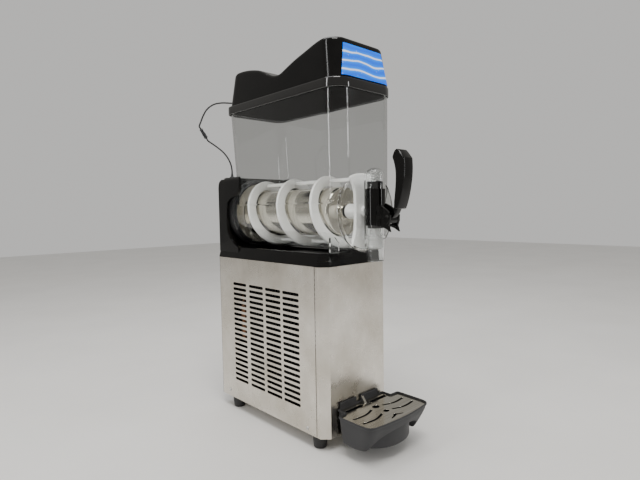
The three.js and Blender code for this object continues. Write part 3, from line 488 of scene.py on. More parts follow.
def catmull(points, per=4):
    """Centripetal Catmull-Rom through the points, the same line that the CAD lead follows."""
    pts = [Vector(p) for p in points]
    pts = [pts[0] * 2 - pts[1], *pts, pts[-1] * 2 - pts[-2]]
    line = []
    for k in range(1, len(pts) - 2):
        p0, p1, p2, p3 = pts[k - 1:k + 3]
        t0 = 0.0
        t1 = t0 + (p1 - p0).length ** 0.5
        t2 = t1 + (p2 - p1).length ** 0.5
        t3 = t2 + (p3 - p2).length ** 0.5
        for i in range(per):
            t = t1 + (t2 - t1) * i / per
            a1 = p0 * ((t1 - t) / (t1 - t0)) + p1 * ((t - t0) / (t1 - t0))
            a2 = p1 * ((t2 - t) / (t2 - t1)) + p2 * ((t - t1) / (t2 - t1))
            a3 = p2 * ((t3 - t) / (t3 - t2)) + p3 * ((t - t2) / (t3 - t2))
            b1 = a1 * ((t2 - t) / (t2 - t0)) + a2 * ((t - t0) / (t2 - t0))
            b2 = a2 * ((t3 - t) / (t3 - t1)) + a3 * ((t - t1) / (t3 - t1))
            line.append(b1 * ((t2 - t) / (t2 - t1)) + b2 * ((t - t1) / (t2 - t1)))
    line.append(pts[-2])
    return line


# ------------------------------------------------------------------ lamp lead, in two halves
LEAD_JOINT = Vector((-121, 221, 701))
LEAD_AXIS = Vector((-0.62, -0.1, 0.78)).normalized()


def lead_end(d):
    return tuple(LEAD_JOINT + LEAD_AXIS * d)


def connector_half(name, d0, d1, r):
    """One half of the in-line connector: waisted body with grip rings and a tapered tail."""
    profile = [(r * 0.45, 0.0), (r * 0.62, 0.5)]
    steps = 16
    for k in range(steps + 1):
        t = k / steps
        ridge = 0.25 * (1 if k % 2 else -1) if 3 < k < 12 else 0.0
        profile.append((r * (0.94 - 0.12 * math.sin(math.pi * t)) + ridge, 0.8 + t * (abs(d1 - d0) - 3.2)))
    profile += [(r * 0.7, abs(d1 - d0) - 1.6), (r * 0.5, abs(d1 - d0))]
    obj = lathe_z(name, profile, 0, 0, 28)
    sign = 1 if d1 > d0 else -1
    turn = Vector((0, 0, 1)).rotation_difference(LEAD_AXIS * sign).to_matrix().to_4x4()
    obj.data.transform(Matrix.Translation(LEAD_JOINT + LEAD_AXIS * d0) @ turn)
    return obj


def lead_curve(name, points, body, node):
    line = [TO_FRAME @ p for p in catmull(points)]
    data = bpy.data.curves.new(name, "CURVE")
    data.dimensions = "3D"
    spline = data.splines.new("POLY")
    spline.points.add(len(line) - 1)
    for p, v in zip(spline.points, line):
        p.co = (*v, 1)
    data.bevel_depth = 0.002
    data.bevel_resolution = 4
    data.use_fill_caps = True
    data.materials.append(RUBBER)
    obj = bpy.data.objects.new(name, data)
    bpy.context.scene.collection.objects.link(obj)
    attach(obj, body)
    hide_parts(node)
    return obj, line[0], sum((b - a).length for a, b in zip(line, line[1:]))


def make_leads():
    upper = [(-62, 159.2, 776), (-62.2, 164, 776.2), (-66, 174, 777), (-84, 190, 778), (-100, 204, 774),
             (-113, 214, 762), (-121, 219, 747), (-128, 220.5, 730), lead_end(20.5), lead_end(15.6)]
    lower = [lead_end(-15.6), lead_end(-21.5), (-97, 218, 676), (-87, 211, 667), (-76, 201, 654), (-69, 191, 638),
             (-65, 184.5, 621), (-64, 182, 606), (-64, 182, 592)]
    plug = finish(connector_half("plug", 0.15, 14.6, 4.6), "lead_plug_body", "lid", MATT, "black_matt", "lead_plug")
    socket = finish(connector_half("socket", -0.15, -14.6, 5.2), "lead_socket_body", "cabinet", MATT, "black_matt",
                    "lead_socket")
    lead, start, length = lead_curve("lamp_lead_a", upper, "lid", "lamp_lead_upper")
    lead, start, length = lead_curve("lamp_lead_b", lower[::-1], "cabinet", "lamp_lead_lower")
    profile = [(5.2, 156.7), (5.2, 158), (4.4, 159), (3.2, 159.8), (2.9, 162), (2.6, 165), (2.3, 168), (1.9, 168.2),
               (1.9, 147), (2.2, 146.6)]
    finish(lathe_y("relief", profile, 24, -62, 776), "lid_lead_relief", "lid", RUBBER, "rubber", "lid_gland")
    profile = [(2.1, 586), (6.5, 588.2), (6.8, 589.4), (6.2, 590.6), (3.6, 591.4), (2.7, 596), (2.1, 600)]
    finish(lathe_z("grommet", profile, -64, 182, 28, closed=True), "column_lead_grommet", "cabinet", RUBBER, "rubber")


# ------------------------------------------------------------------ bowl
def clamp(v):
    return max(0.0, min(1.0, v))


def bowl_upper(name, inset, z0, z1):
    """The bowl's upper walls, which narrow towards the trough."""
    rings, levels = [], 26
    outline = rounded_rect(-88.5 + inset, 88.5 - inset, -227.5 + inset, 160 - inset, 37 - inset, 28 - inset)
    for k in range(levels + 1):
        z = z0 + (z1 - z0) * k / levels
        low = clamp((600 - z) / 85)
        down = clamp((752 - z) / 162)
        lean = -13 * clamp((735 - z) / 140)
        side = 1 - 0.022 * down - 0.028 * low * low
        rings.append([(x * side, y + (lean * min(1, y / 120) if y > 0 else 0), z) for x, y in outline])
    return rings_to_mesh(name, rings)


def trough(name, r, front, rear, edge, bead=False):
    """The bowl's round lower part, closed in front with a rounded edge."""
    profile = [(0.001, front)]
    for k in range(9):
        a = math.pi / 2 * k / 8
        profile.append((r - edge + edge * math.sin(a), front + edge - edge * math.cos(a)))
    if bead:
        y = front + edge
        profile += [(r, y + 0.6), (r + 1.1, y + 1.2), (r + 1.4, y + 2.2), (r + 1.1, y + 3.2), (r, y + 3.8)]
    profile += [(r, rear), (0.001, rear)]
    return lathe_y(name, profile, 144, closed=False)


def tap_tube():
    profile = [(0.001, 395), (16.8, 395), (17.6, 395.8), (19.4, 434), (20.0, 440), (21.2, 441.5), (21.4, 444),
               (21.2, 446.5), (19.9, 448), (19.7, 452), (19.7, DOME_Z)]
    for k in range(1, 9):
        a = math.pi / 2 * k / 8
        profile.append((19.7 * math.cos(a), DOME_Z + 12 * math.sin(a)))
    return lathe_z("tube", profile, 0, TAP_Y, 64)


def tap_bore():
    profile = [(0.001, 390), (15.2, 390), (15.2, 412), (16.9, 418), (16.9, DOME_Z)]
    for k in range(1, 9):
        a = math.pi / 2 * k / 8
        profile.append((16.9 * math.cos(a), DOME_Z + 9.2 * math.sin(a)))
    return lathe_z("bore", profile, 0, TAP_Y, 64)


def make_bowl():
    shell = unite(bowl_upper("bowl_outer", 0, 515, 752), trough("t", 84, -227.2, 152, 3.5, True))
    unite(shell, block("web", -12, 12, -236, -225, 424, 560), tap_tube())
    for a, b in ((-79, -55), (55, 79)):
        unite(shell, block("skirt", a, b, -196, -191, 413.1, 445))
    hollow = unite(bowl_upper("bowl_inner", 3, 518, 756), trough("t2", 81, -224.2, 157, 3))
    port = lathe_y("port", [(0.001, -240), (8, -240), (8, -215), (0.001, -215)], 32, 0, 434, False)
    cut(shell, hollow, tap_bore(), port,
        block("slot", -6, 6, -275, TAP_Y, 472, 503))
    finish(shell, "clear_bowl", "bowl", CLEAR, "clear", "bowl", angle=28)


# ------------------------------------------------------------------ lid
HOOD_R = 7.0                                     # rounding of the crest
LID_TOP, HOOD_RISE = 761.0, 78.0                 # where the hood stands and over what height it leans
HOOD_HALF, HOOD_FRONT, HOOD_CORNER = 88.0, -228.0, 36.0


def bezier(p0, p1, p2, p3, t):
    a, b = 1 - t, t
    return tuple(p0[i] * a ** 3 + 3 * p1[i] * a * a * b + 3 * p2[i] * a * b * b + p3[i] * b ** 3 for i in range(2))


def hood_top_line():
    """Height of the hood's crest along the machine, from rear to front."""
    pieces = [((147, 821), (143, 832), (134, 839), (116, 839)), ((116, 839), (88, 839), (62, 834), (38, 827.5)),
              ((38, 827.5), (16, 820), (2, 811), (-12, 805.5)), ((-12, 805.5), (-24, 800.5), (-40, 799), (-50, 802)),
              ((-50, 802), (-62, 806), (-84, 817), (-112, 825)), ((-112, 825), (-138, 832), (-158, 840), (-176, 842)),
              ((-176, 842), (-190, 843), (-202, 843), (-216, 842.4))]
    line = []
    for piece in pieces:
        line += [bezier(*piece, k / 16) for k in range(16)]
    line.append((-216, 842.4))
    return line


TOP_LINE = hood_top_line()


def crest(y):
    if y >= TOP_LINE[0][0]:
        return TOP_LINE[0][1]
    for (y0, z0), (y1, z1) in zip(TOP_LINE, TOP_LINE[1:]):
        if y1 <= y <= y0:
            return z0 + (z1 - z0) * (y0 - y) / (y0 - y1)
    return TOP_LINE[-1][1]


def dense_rect(x1, y0, y1, r, r_rear, n, along, across):
    """Rounded rectangle with points along its straight sides as well, mirrored left and right."""
    def straight(a, b, count):
        return [a + (b - a) * k / count for k in range(1, count)]
    right = []
    right += [(x, y0) for x in straight(0, x1 - r, across)]
    right += [(x1 - r + r * math.sin(math.radians(90 * k / n)), y0 + r - r * math.cos(math.radians(90 * k / n)))
              for k in range(n + 1)]
    right += [(x1, y) for y in straight(y0 + r, y1 - r_rear, along)]
    right += [(x1 - r_rear + r_rear * math.cos(math.radians(90 * k / n)),
               y1 - r_rear + r_rear * math.sin(math.radians(90 * k / n))) for k in range(n + 1)]
    right += [(x, y1) for x in straight(x1 - r_rear, 0, across)]
    left = [(-x, y) for x, y in reversed(right)]
    return [(0, y0), *right, (0, y1), *left]


def hood_ring(inset):
    return dense_rect(HOOD_HALF - inset, HOOD_FRONT + inset, 158 - inset, HOOD_CORNER - inset, 27 - inset, 12, 60, 8)


def hood_lean(x, y, z):
    t = (z - LID_TOP) / HOOD_RISE
    shift = 13 * t * clamp((-60 - y) / 90) if y < 0 else -13 * t * clamp(y / 100)
    return (x * (1 - 0.075 * t), y + shift, z)


def hood_edge(x, y):
    """Height of the hood's edge above a point of its foot outline."""
    z = 830.0
    for _ in range(4):
        z = crest(hood_lean(x, y, z)[1])
    return z


def make_hood():
    foot = hood_ring(0)
    n = len(foot)
    tops = [hood_edge(x, y) for x, y in foot]
    rings = [[(x, y, 761.3) for x, y in hood_ring(0.8)]]
    for k in range(15):
        rings.append([hood_lean(x, y, 761.6 + (t - HOOD_R - 761.6) * (k / 14)) for (x, y), t in zip(foot, tops)])
    for k in range(1, 9):
        a = math.pi / 2 * k / 8
        ring = hood_ring(HOOD_R * (1 - math.cos(a)))
        rings.append([hood_lean(x, y, t - HOOD_R + HOOD_R * math.sin(a)) for (x, y), t in zip(ring, tops)])
    verts = [p for ring in rings for p in ring]
    faces = []
    for k in range(len(rings) - 1):
        a, b = k * n, (k + 1) * n
        faces += [(a + i, a + (i + 1) % n, b + (i + 1) % n, b + i) for i in range(n)]
    last = (len(rings) - 1) * n
    for i in range(n // 2):
        quad = []
        for v in (last + i, last + i + 1, last + (n - i - 1), last + (n - i) % n):
            if v not in quad:
                quad.append(v)
        if len(quad) > 2:
            faces.append(tuple(quad))
    faces.append(tuple(range(n)))
    finish(raw("hood", verts, faces), "hood_shell", "lid", GLOSS, "black_gloss", "lid_hood", angle=35)


def make_sign():
    """Printed panel that follows the hood's front and turns a little round both corners."""
    def sheet(out):
        rows = []
        for k in range(13):
            half, row = 70 - 9 * k / 12, []
            for j in range(25):
                x = half * (j / 12 - 1)
                past = max(0.0, abs(x) - (HOOD_HALF - HOOD_CORNER))
                y = HOOD_FRONT + HOOD_CORNER - math.sqrt((HOOD_CORNER + out) ** 2 - past ** 2)
                row.append(hood_lean(x, y, 764 + 65.5 * k / 12))
            rows.append(row)
        return rows
    outer, inner = sheet(1.0), sheet(0.25)
    m = len(outer[0])
    verts = [p for row in outer for p in row] + [p for row in inner for p in row]
    back = len(outer) * m
    faces = []
    for k in range(len(outer) - 1):
        for i in range(m - 1):
            a = k * m + i
            faces.append((a, a + 1, a + m + 1, a + m))
            faces.append((back + a, back + a + m, back + a + m + 1, back + a + 1))
        for i in (0, m - 1):
            a = k * m + i
            faces.append((a, a + m, back + a + m, back + a))
    for i in range(m - 1):
        for k in (0, len(outer) - 1):
            a = k * m + i
            faces.append((a, a + 1, back + a + 1, back + a))
    finish(raw("sign", verts, faces), "sign_face", "lid", SIGN, "sign_blue", "sign_panel", angle=40)


def sweep_rect(name, profile, x1, y0, y1, r, r_rear):
    """Sweeps (inset, z) pairs round an outline; the first and last rings are capped."""
    rings = []
    for inset, z in profile:
        rings.append([(x, y, z) for x, y in rounded_rect(-x1 + inset, x1 - inset, y0 + inset, y1 - inset, r - inset,
                                                         r_rear - inset)])
    return rings_to_mesh(name, rings)


def make_lid_base():
    profile = [(1.6, 754), (1.6, 741.6), (1.2, 741), (0.7, 741), (0.2, 741.4), (0.0, 742.2), (0.0, 757.4),
               (0.3, 758.8), (0.9, 759.9), (1.8, 760.6), (2.8, 760.9), (7.0, 761.0)]
    skirt = sweep_rect("skirt", profile, 91, -230.5, 170, 40, 30)
    lip = [(2.2, 753.8), (2.2, 743.2), (1.8, 743), (0.5, 743), (0, 743.4), (0, 753.8)]
    lip = sweep_rect("lip", lip, 84.9, -223.9, 156.4, 33.4, 24.4)
    finish(joined("lid_j", [skirt, lip]), "lid_skirt", "lid", LID, "black_gloss", "lid_base", angle=40)


# ------------------------------------------------------------------ freezing cylinder, spiral, gasket
def make_cylinder():
    f = -161.0
    profile = [(9, f - 7), (13.4, f - 7), (14, f - 6.4), (14, f - 2), (15, f - 0.6), (17, f), (30, f + 0.3), (48, f)]
    for k in range(1, 7):
        profile.append((48 + 6 * math.sin(math.pi / 2 * k / 6), f + 6 - 6 * math.cos(math.pi / 2 * k / 6)))
    profile += [(54, 142), (55, 145), (57, 146), (74.8, 146), (75.5, 146.6), (75.5, 149), (74.8, 149.6), (54, 150),
                (54, 186), (51.5, 186), (51.5, f + 8), (46, f + 4), (9, f + 4)]
    finish(lathe_y("cyl", profile, 128), "freezing_drum", "cabinet", POLISHED, "polished_steel", "freezing_cylinder")


def make_gasket():
    s = 80.3
    profile = [(54.7, 150.5), (75.9, 150), (75.9, 143.4), (76.4, 142.8), (79, 142.8), (s, 143.8)]
    for k in range(3):
        y = 145 + k * 3.2
        profile += [(s, y), (s - 1.0, y + 0.8), (s - 1.0, y + 1.6), (s, y + 2.4)]
    profile += [(s, 155.6), (83.6, 155.9), (85.2, 157)]
    for k in range(2):
        y = 158.5 + k * 4.4
        profile += [(85.5, y), (84.0, y + 1.2), (84.0, y + 2.4), (85.5, y + 3.4)]
    profile += [(85.5, 170.1), (54.7, 170.1)]
    finish(lathe_y("gasket", profile, 112), "bowl_seal", "cabinet", RUBBER, "rubber", "bowl_gasket")


def ribbon(phase0, phase1, steps):
    """Flat band with rounded edges, wound round the cylinder."""
    section = []
    for cr, cw, start in ((78.2, 1.9, 0), (59.8, 1.9, 90), (59.8, -1.9, 180), (78.2, -1.9, 270)):
        for k in range(4):
            a = math.radians(start + 30 * k)
            section.append((cr + 1.8 * math.cos(a), cw + 1.6 * math.sin(a)))
    rings = []
    for k in range(steps + 1):
        t = k / steps
        phase = phase0 + (phase1 - phase0) * t
        ends = min(1.0, min(t, 1 - t) * 40 + 0.15)
        y = 115 - 113 * phase / (2 * math.pi)
        rings.append([(-r * math.sin(phase), y + w * (0.35 + 0.65 * ends), AXIS_Z + r * math.cos(phase))
                      for r, w in section])
    return rings_to_mesh("ribbon", rings)


def bar(phase, y0, y1):
    obj = bevel(block("bar", -4.5, 4.5, y0, y1, 64, 72), 1.4, 3)
    obj.data.transform(Matrix.Translation((0, 0, AXIS_Z)) @ Matrix.Rotation(-phase, 4, "Y"))
    return obj


def paddle():
    """Flat blade across the front end of the spiral, its flared ends following the spiral's circle."""
    def end(sign):
        return [(sign * x, sign * z) for x, z in
                [(24.5, 38), (29, 54), (36, 69.5), (34, 72.5), (24, 76.2), (12, 78.3), (0, 79), (-12, 78.3),
                 (-24, 76.2), (-34, 72.5), (-36, 69.5), (-29, 54), (-24.5, 38)]]
    outline = [(23.5, 10), *end(1), (-23.5, 10), (-23.5, -10), *end(-1), (23.5, -10)]
    blade = rings_to_mesh("blade", [[(x, y, AXIS_Z + z) for x, z in outline] for y in (-214, -206)])
    return bevel(blade, 2.0, 3, 40)


def make_auger():
    parts = [ribbon(-0.25 * math.pi, 5.6 * math.pi, 290), bar(0, -207, 118), bar(math.pi, -207, 62), paddle()]
    parts.append(lathe_y("hub", [(7.4, -207), (16, -207), (16, -177), (14.6, -175), (7.4, -174.5)], 48))
    finish(joined("auger_j", parts), "scraper_spiral", "auger_drive", WHITE, "white", "auger")
    nut = lathe_y("nut", [(0.001, -222.5), (10.6, -222.5), (12, -221), (12, -215.6), (11, -214.4), (7.4, -214.4),
                          (7.4, -216.2), (0.001, -216.4)], 40, closed=False)
    finish(nut, "spiral_nut", "auger_drive", WHITE, "white", "auger_nut")


# ------------------------------------------------------------------ tap
def handle_side():
    pieces = [((-315, 502), (-321, 516), (-325.5, 532), (-328, 548)),
              ((-328, 548), (-331.4, 566), (-331.4, 584), (-330, 598))]
    line = [(-304, 500.5), (-313.6, 500.5)]
    for piece in pieces:
        line += [bezier(*piece, k / 8) for k in range(8)]
    line += [(-330, 598), (-320.5, 610), (-316, 614.6), (-311, 616), (-307, 613), (-304, 608)]
    for piece in (((-301, 601), (-306, 590), (-309, 578), (-309, 564)),
                  ((-309, 564), (-309, 546), (-306, 526), (-304, 510))):
        line += [bezier(*piece, k / 8) for k in range(8)]
    return line


def make_handle():
    grip = bevel(prism_x("grip", handle_side(), -14, 14), 3.2, 3, 40)
    side = [(-281, 486), (-293, 480), (-305, 493), (-313, 508), (-305, 516), (-298, 503)]
    neck = bevel(prism_x("neck", side, -6.5, 6.5), 1.4, 3)
    hub = lathe_x("hub", [(3.4, -10.8), (8.2, -10.8), (9, -10), (9, 10), (8.2, 10.8), (3.4, 10.8)], PIVOT_Y, PIVOT_Z)
    arm = bevel(block("arm", -4.5, 4.5, -285, -257, 476.4, 483.6), 0.8, 2)
    profile = [(0.001, -4.5), (3.4, -4.5), (3.8, -4.1), (3.8, 4.1), (3.4, 4.5), (0.001, 4.5)]
    tip = lathe_x("tip", profile, -256, PIVOT_Z, 24, False)
    finish(joined("handle_j", [grip, neck, hub, arm, tip]), "lever_handle", "tap_handle", GLOSS, "black_gloss",
           "tap_handle", angle=24)


def make_piston():
    upper = [(0.001, 546), (11, 546), (11, 557), (15.2, 557), (16.4, 555.6), (16.4, 533), (15.4, 531), (11, 530),
             (11, 500), (15.6, 500), (16.4, 499), (16.4, 463), (15.6, 462), (0.001, 462)]
    body = lathe_z("upper", upper, 0, TAP_Y, 48)
    notch = block("notch", -5.7, 5.7, -270, -250.5, 474.2, 485.6)
    room_for_neck = block("room", -5.7, 5.7, -270, -261.2, 458, 500.5)
    cut(body, notch, room_for_neck)
    finish(body, "piston_upper", "tap_piston", GLOSS, "black_gloss", "tap_piston")
    lower = [(0.001, 461.8), (10, 461.8), (11, 460), (11, 449), (13.5, 447.5), (13.5, 421), (12.5, 420), (0.001, 420)]
    finish(lathe_z("lower", lower, 0, TAP_Y, 48), "piston_foot", "tap_piston", MILKY, "clear")
    spring = finish(node_copy("tap_spring"), "return_spring", "bowl", PLAIN, "polished_steel", "tap_spring")
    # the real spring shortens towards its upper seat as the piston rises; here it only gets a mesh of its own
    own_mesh(spring)


def make_tap():
    make_handle()
    make_piston()
    body = bevel(node_copy("tap_housing"), 0.7, 2, 40)
    profile = [(3.4, 15.5), (9, 15.5), (9, 17), (8.2, 17.8), (3.4, 17.8)]
    bosses = [lathe_x("boss", [(r, s * x) for r, x in profile], PIVOT_Y, PIVOT_Z) for s in (-1, 1)]
    finish(joined("tap_j", [body, *bosses]), "tap_body", "bowl", GLOSS, "black_gloss", "tap_housing", angle=30)


# ------------------------------------------------------------------ drip tray
TRAY_X = 4.0                                     # the tray hangs a little to the right on its lugs
TRAY_HALF, TRAY_FRONT, TRAY_BOW = 96, -316, 0.00106
NECK_HALF, NECK_REAR = 72, -197.2


def rounded(points, n=6):
    """Outline with every corner of (x, y, radius) rounded off; a radius of 0 keeps the plain point."""
    out = []
    for k, (x, y, r) in enumerate(points):
        if r == 0:
            out.append((x, y))
            continue
        p = Vector((x, y))
        before, after = Vector(points[k - 1][:2]) - p, Vector(points[(k + 1) % len(points)][:2]) - p
        a, b = p + before.normalized() * r, p + after.normalized() * r
        for j in range(n + 1):
            t = j / n
            q = a * (1 - t) ** 2 + p * 2 * t * (1 - t) + b * t ** 2
            out.append((q.x, q.y))
    return out


def tray_outline(i):
    """Rim outline: a narrow neck at the cabinet, shoulders, then the bowed front."""
    front = [(x, TRAY_FRONT + i + TRAY_BOW * x * x, 0) for x in (72, 60, 48, 36, 24, 12)]
    half = [(NECK_HALF - i, NECK_REAR - i, 2), (NECK_HALF - i, -221 - i, 3), (TRAY_HALF - i, -222 - i, 5)]
    half += [(TRAY_HALF - i, y, 0) for y in (-236, -250, -264, -278)] + [(TRAY_HALF - 1 - i, -308 + i, 17)] + front
    left = [(-x, y, r) for x, y, r in reversed(half)]
    return [(TRAY_X + x, y) for x, y in rounded(half + [(0, TRAY_FRONT + i, 0)] + left)]


def tray_ring(i, z):
    """One level of the tapering wall, i mm in from the rim's outline."""
    t = max(0.0, (80 - z) / 52)
    ring = []
    for x, y in tray_outline(i):
        narrow = 1 - 0.09 * t - 0.04 * t * clamp((-255 - y) / 50)
        ring.append((TRAY_X + (x - TRAY_X) * narrow, y + 26 * t ** 1.2 * clamp((-236 - y) / 56), z))
    return ring


def basin(i, z0, z1):
    """The round basin seen through the arch in the front apron."""
    side = [bezier((74 - i, -250), (66 - i, -284 + i), (38 - i, -304 + i), (0, -304 + i), k / 14) for k in range(15)]
    half = [(74 - i, -215)] + side
    line = [(TRAY_X + x, y) for x, y in half] + [(TRAY_X - x, y) for x, y in reversed(half[:-1])]
    levels = [(2.5, z0), (0.8, z0 + 0.8), (0, z0 + 3), (0, z1)] if i == 0 else [(0, z0), (0, z1)]
    middle = Vector((TRAY_X, -240))
    rings = [[(*(middle + (Vector(p) - middle) * (1 - d / 70)), z) for p in line] for d, z in levels]
    return rings_to_mesh("basin", rings)


def tray_arch(g):
    """Cutter for the arch through the apron."""
    right = [bezier((78 + g, 20), (74 + g, 56 + g), (50, 66 + g), (0, 66 + g), k / 16) for k in range(17)]
    line = [(TRAY_X + x, z) for x, z in right] + [(TRAY_X - x, z) for x, z in reversed(right[:-1])]
    return rings_to_mesh("arch", [[(x, y, z) for x, z in line] for y in (-330, -240)])


def make_tray():
    walls = [tray_ring(1.8, z) for z in (34, 40, 46, 52, 58, 64, 70, 76, 83.2)]
    tray = rings_to_mesh("tray", [tray_ring(7, 28.5), tray_ring(3.6, 28.8), tray_ring(2.2, 30.2), *walls])
    cut(tray, tray_arch(0))
    rim = rings_to_mesh("rim", [tray_ring(1.9, 82.8), tray_ring(0.5, 83.5), tray_ring(0, 84.3), tray_ring(0, 87),
                                tray_ring(0.5, 88)])
    tabs = [bevel(block("tab", a, b, -199.1, -197.3, 80, 100.4), 0.6, 3) for a, b in ((-62, -12), (2, 58))]
    unite(tray, basin(0, 28.5, 79), rim, *tabs)
    hollow = rings_to_mesh("hollow", [tray_ring(10, 31), tray_ring(6.5, 31.6), tray_ring(4.8, 36), tray_ring(4.6, 60),
                                      tray_ring(4.4, 81.6), tray_ring(4.4, 92)])
    cut(hollow, tray_arch(2.6))
    unite(hollow, basin(2.4, 31, 78))
    cut(tray, hollow, rings_to_mesh("seat", [tray_ring(1.9, 82.6), tray_ring(1.9, 87.4), tray_ring(1.4, 92)]))
    finish(bevel(tray, 0.5, 2, 55), "tray_body", "drip_tray", MATT, "black_matt", "drip_tray", angle=38)


def plate_with_holes(name, outline, holes, thickness, z):
    """Flat plate cut out of sheet: a filled curve with holes, given thickness and a small edge round."""
    data = bpy.data.curves.new(name, "CURVE")
    data.dimensions = "2D"
    data.fill_mode = "BOTH"
    data.extrude = thickness / 2 - 0.2
    data.bevel_depth = 0.2
    data.bevel_resolution = 1
    data.offset = -0.2
    for loop in [outline, *holes]:
        spline = data.splines.new("POLY")
        spline.points.add(len(loop) - 1)
        for p, (x, y) in zip(spline.points, loop):
            p.co = (x, y, 0, 1)
        spline.use_cyclic_u = True
    obj = bpy.data.objects.new(name, data)
    bpy.context.scene.collection.objects.link(obj)
    bpy.context.view_layer.update()
    mesh = bpy.data.meshes.new_from_object(obj.evaluated_get(bpy.context.evaluated_depsgraph_get()))
    bpy.data.objects.remove(obj)
    mesh.transform(Matrix.Translation((0, 0, z)))
    plate = bpy.data.objects.new(name, mesh)
    bpy.context.scene.collection.objects.link(plate)
    return plate


def slot_path(points, half):
    """Round-ended slot of the given half width along a bent line."""
    left, right = [], []
    n = len(points)
    for k, (x, y) in enumerate(points):
        x0, y0 = points[max(0, k - 1)]
        x1, y1 = points[min(n - 1, k + 1)]
        d = math.hypot(x1 - x0, y1 - y0)
        nx, ny = -(y1 - y0) / d, (x1 - x0) / d
        left.append((x + nx * half, y + ny * half))
        right.append((x - nx * half, y - ny * half))

    def end(k, other):
        (x, y), (u, v) = points[k], points[other]
        base = math.atan2(y - v, x - u)
        return [(x + half * math.cos(base + math.radians(a)), y + half * math.sin(base + math.radians(a)))
                for a in (60, 30, 0, -30, -60)]
    return left + end(-1, -2) + right[::-1] + end(0, 1)


def oval(cx, cy, a, b, n=20):
    return [(cx + a * math.cos(2 * math.pi * k / n), cy + b * math.sin(2 * math.pi * k / n)) for k in range(n)]


def make_grid():
    holes = []
    for s in (-1, 1):
        for half, points in ((5.0, [(17, -213.6), (30, -213.6), (45, -213.6), (60, -213.6)]),
                             (2.7, [(19.5, -243.5), (32, -248.5), (48, -251.5), (63, -251), (78, -249)]),
                             (2.7, [(18.5, -270.5), (31, -275.5), (46, -278.5), (62, -278), (78, -275.5)])):
            line = [(TRAY_X + s * p.x, p.y) for p in catmull([(x, y, 0) for x, y in points])]
            holes.append(slot_path(line, half))
    wedge = [(-20, -299.5), (-8, -297), (0, -294.2), (8, -297), (20, -299.5), (19.5, -296.6), (8, -293), (4, -289),
             (0, -287), (-4, -289), (-8, -293), (-19.5, -296.6)]
    holes.append([(TRAY_X + x, y) for x, y in wedge])
    holes += [oval(TRAY_X + 1, -238.7, 9, 7.4), oval(TRAY_X + 1, -267, 7, 5.6), oval(TRAY_X + 5, -219.5, 4.5, 2.2)]
    plate = plate_with_holes("grid", tray_outline(2.3), holes, 1.6, 83.8)
    side = [(-214, 83.1), (-214, 84.6), (-211.6, 84.9), (-202, 97.8), (-200.9, 97.2), (-210.8, 83.1)]
    tongue = bevel(prism_x("tongue", side, 1, 7), 0.3, 2, 30)
    finish(joined("grid_j", [plate, tongue]), "grid_plate", "drip_grid", POLISHED, "polished_steel", "drip_grid",
           angle=50)


# ------------------------------------------------------------------ cabinet and housing
VENT_COLUMNS = (105.5, 37.5, -27, -90)           # middles of the vent columns along the machine
VENT_ROWS, VENT_TOP, VENT_PITCH = 20, 322, 12.65
VENT_HALF, VENT_R = 24.6, 3.4                    # from the middle to the round end, and the end's radius


def vent_cutters(side):
    """Round-ended slots in four columns, standing through one side sheet."""
    slots = []
    for y in VENT_COLUMNS:
        for row in range(VENT_ROWS):
            z = VENT_TOP - VENT_PITCH * row
            line = []
            for end in (1, -1):
                for k in range(9):
                    a = math.radians(22.5 * k - 90 if end > 0 else 22.5 * k + 90)
                    line.append((y + end * VENT_HALF + VENT_R * math.cos(a), z + VENT_R * math.sin(a)))
            slots.append(rings_to_mesh("slot", [[(side * x, y0, z0) for y0, z0 in line] for x in (97.5, 102.5)]))
    return joined("slots", slots)


def make_side(node, name, side):
    panel = node_copy(node)
    for v in panel.data.vertices:
        if v.co.y < -160:
            v.co.y += 1.2
    sheet = sorted((side * SHEET_IN, side * SHEET_OUT))
    unite(panel, block("fill", *sheet, -121, 137, 76, 328))
    bm = bmesh.new()
    bm.from_mesh(panel.data)
    bmesh.ops.dissolve_limit(bm, angle_limit=FLAT, verts=bm.verts, edges=bm.edges)
    bm.to_mesh(panel.data)
    bm.free()
    cut(bevel(panel, 0.25, 1, 50), vent_cutters(side))
    finish(panel, name, "cabinet", STEEL, "panel_steel", node, angle=30)


def make_cabinet():
    make_side("side_panel_left", "side_sheet_left", -1)
    make_side("side_panel_right", "side_sheet_right", 1)
    finish(bevel(node_copy("front_panel"), 0.5, 3, 30), "front_sheet", "cabinet", STEEL, "panel_steel", "front_panel")
    finish(bevel(node_copy("rear_panel"), 0.3, 1, 50), "rear_sheet", "cabinet", PAINTED, "black_paint", "rear_panel")
    finish(bevel(node_copy("base_pan"), 0.3, 1, 50), "base_tray", "cabinet", STEEL, "panel_steel", "base_pan")
    finish(bevel(node_copy("top_housing"), 2.2, 3, 30), "deck_and_column", "cabinet", GLOSS, "black_gloss",
           "top_housing", angle=30)
    finish(bevel(node_copy("column_back_cover"), 0.5, 2, 50), "column_cover", "cabinet", MATT, "black_matt",
           "column_back_cover")
    profile = [(0.001, 0), (12.6, 0), (13.6, 0.6), (14.2, 1.8), (14.8, 10), (15.8, 21), (15.6, 22.6), (14.4, 24),
               (14, 27.7), (0.001, 27.7)]
    for end, y in (("front", -156), ("rear", 150)):
        for side, x in (("left", -80), ("right", 80)):
            node = f"foot_{end}_{side}"
            finish(lathe_z("foot", profile, x, y, 40), node + "_r", "cabinet", RUBBER, "rubber", node)


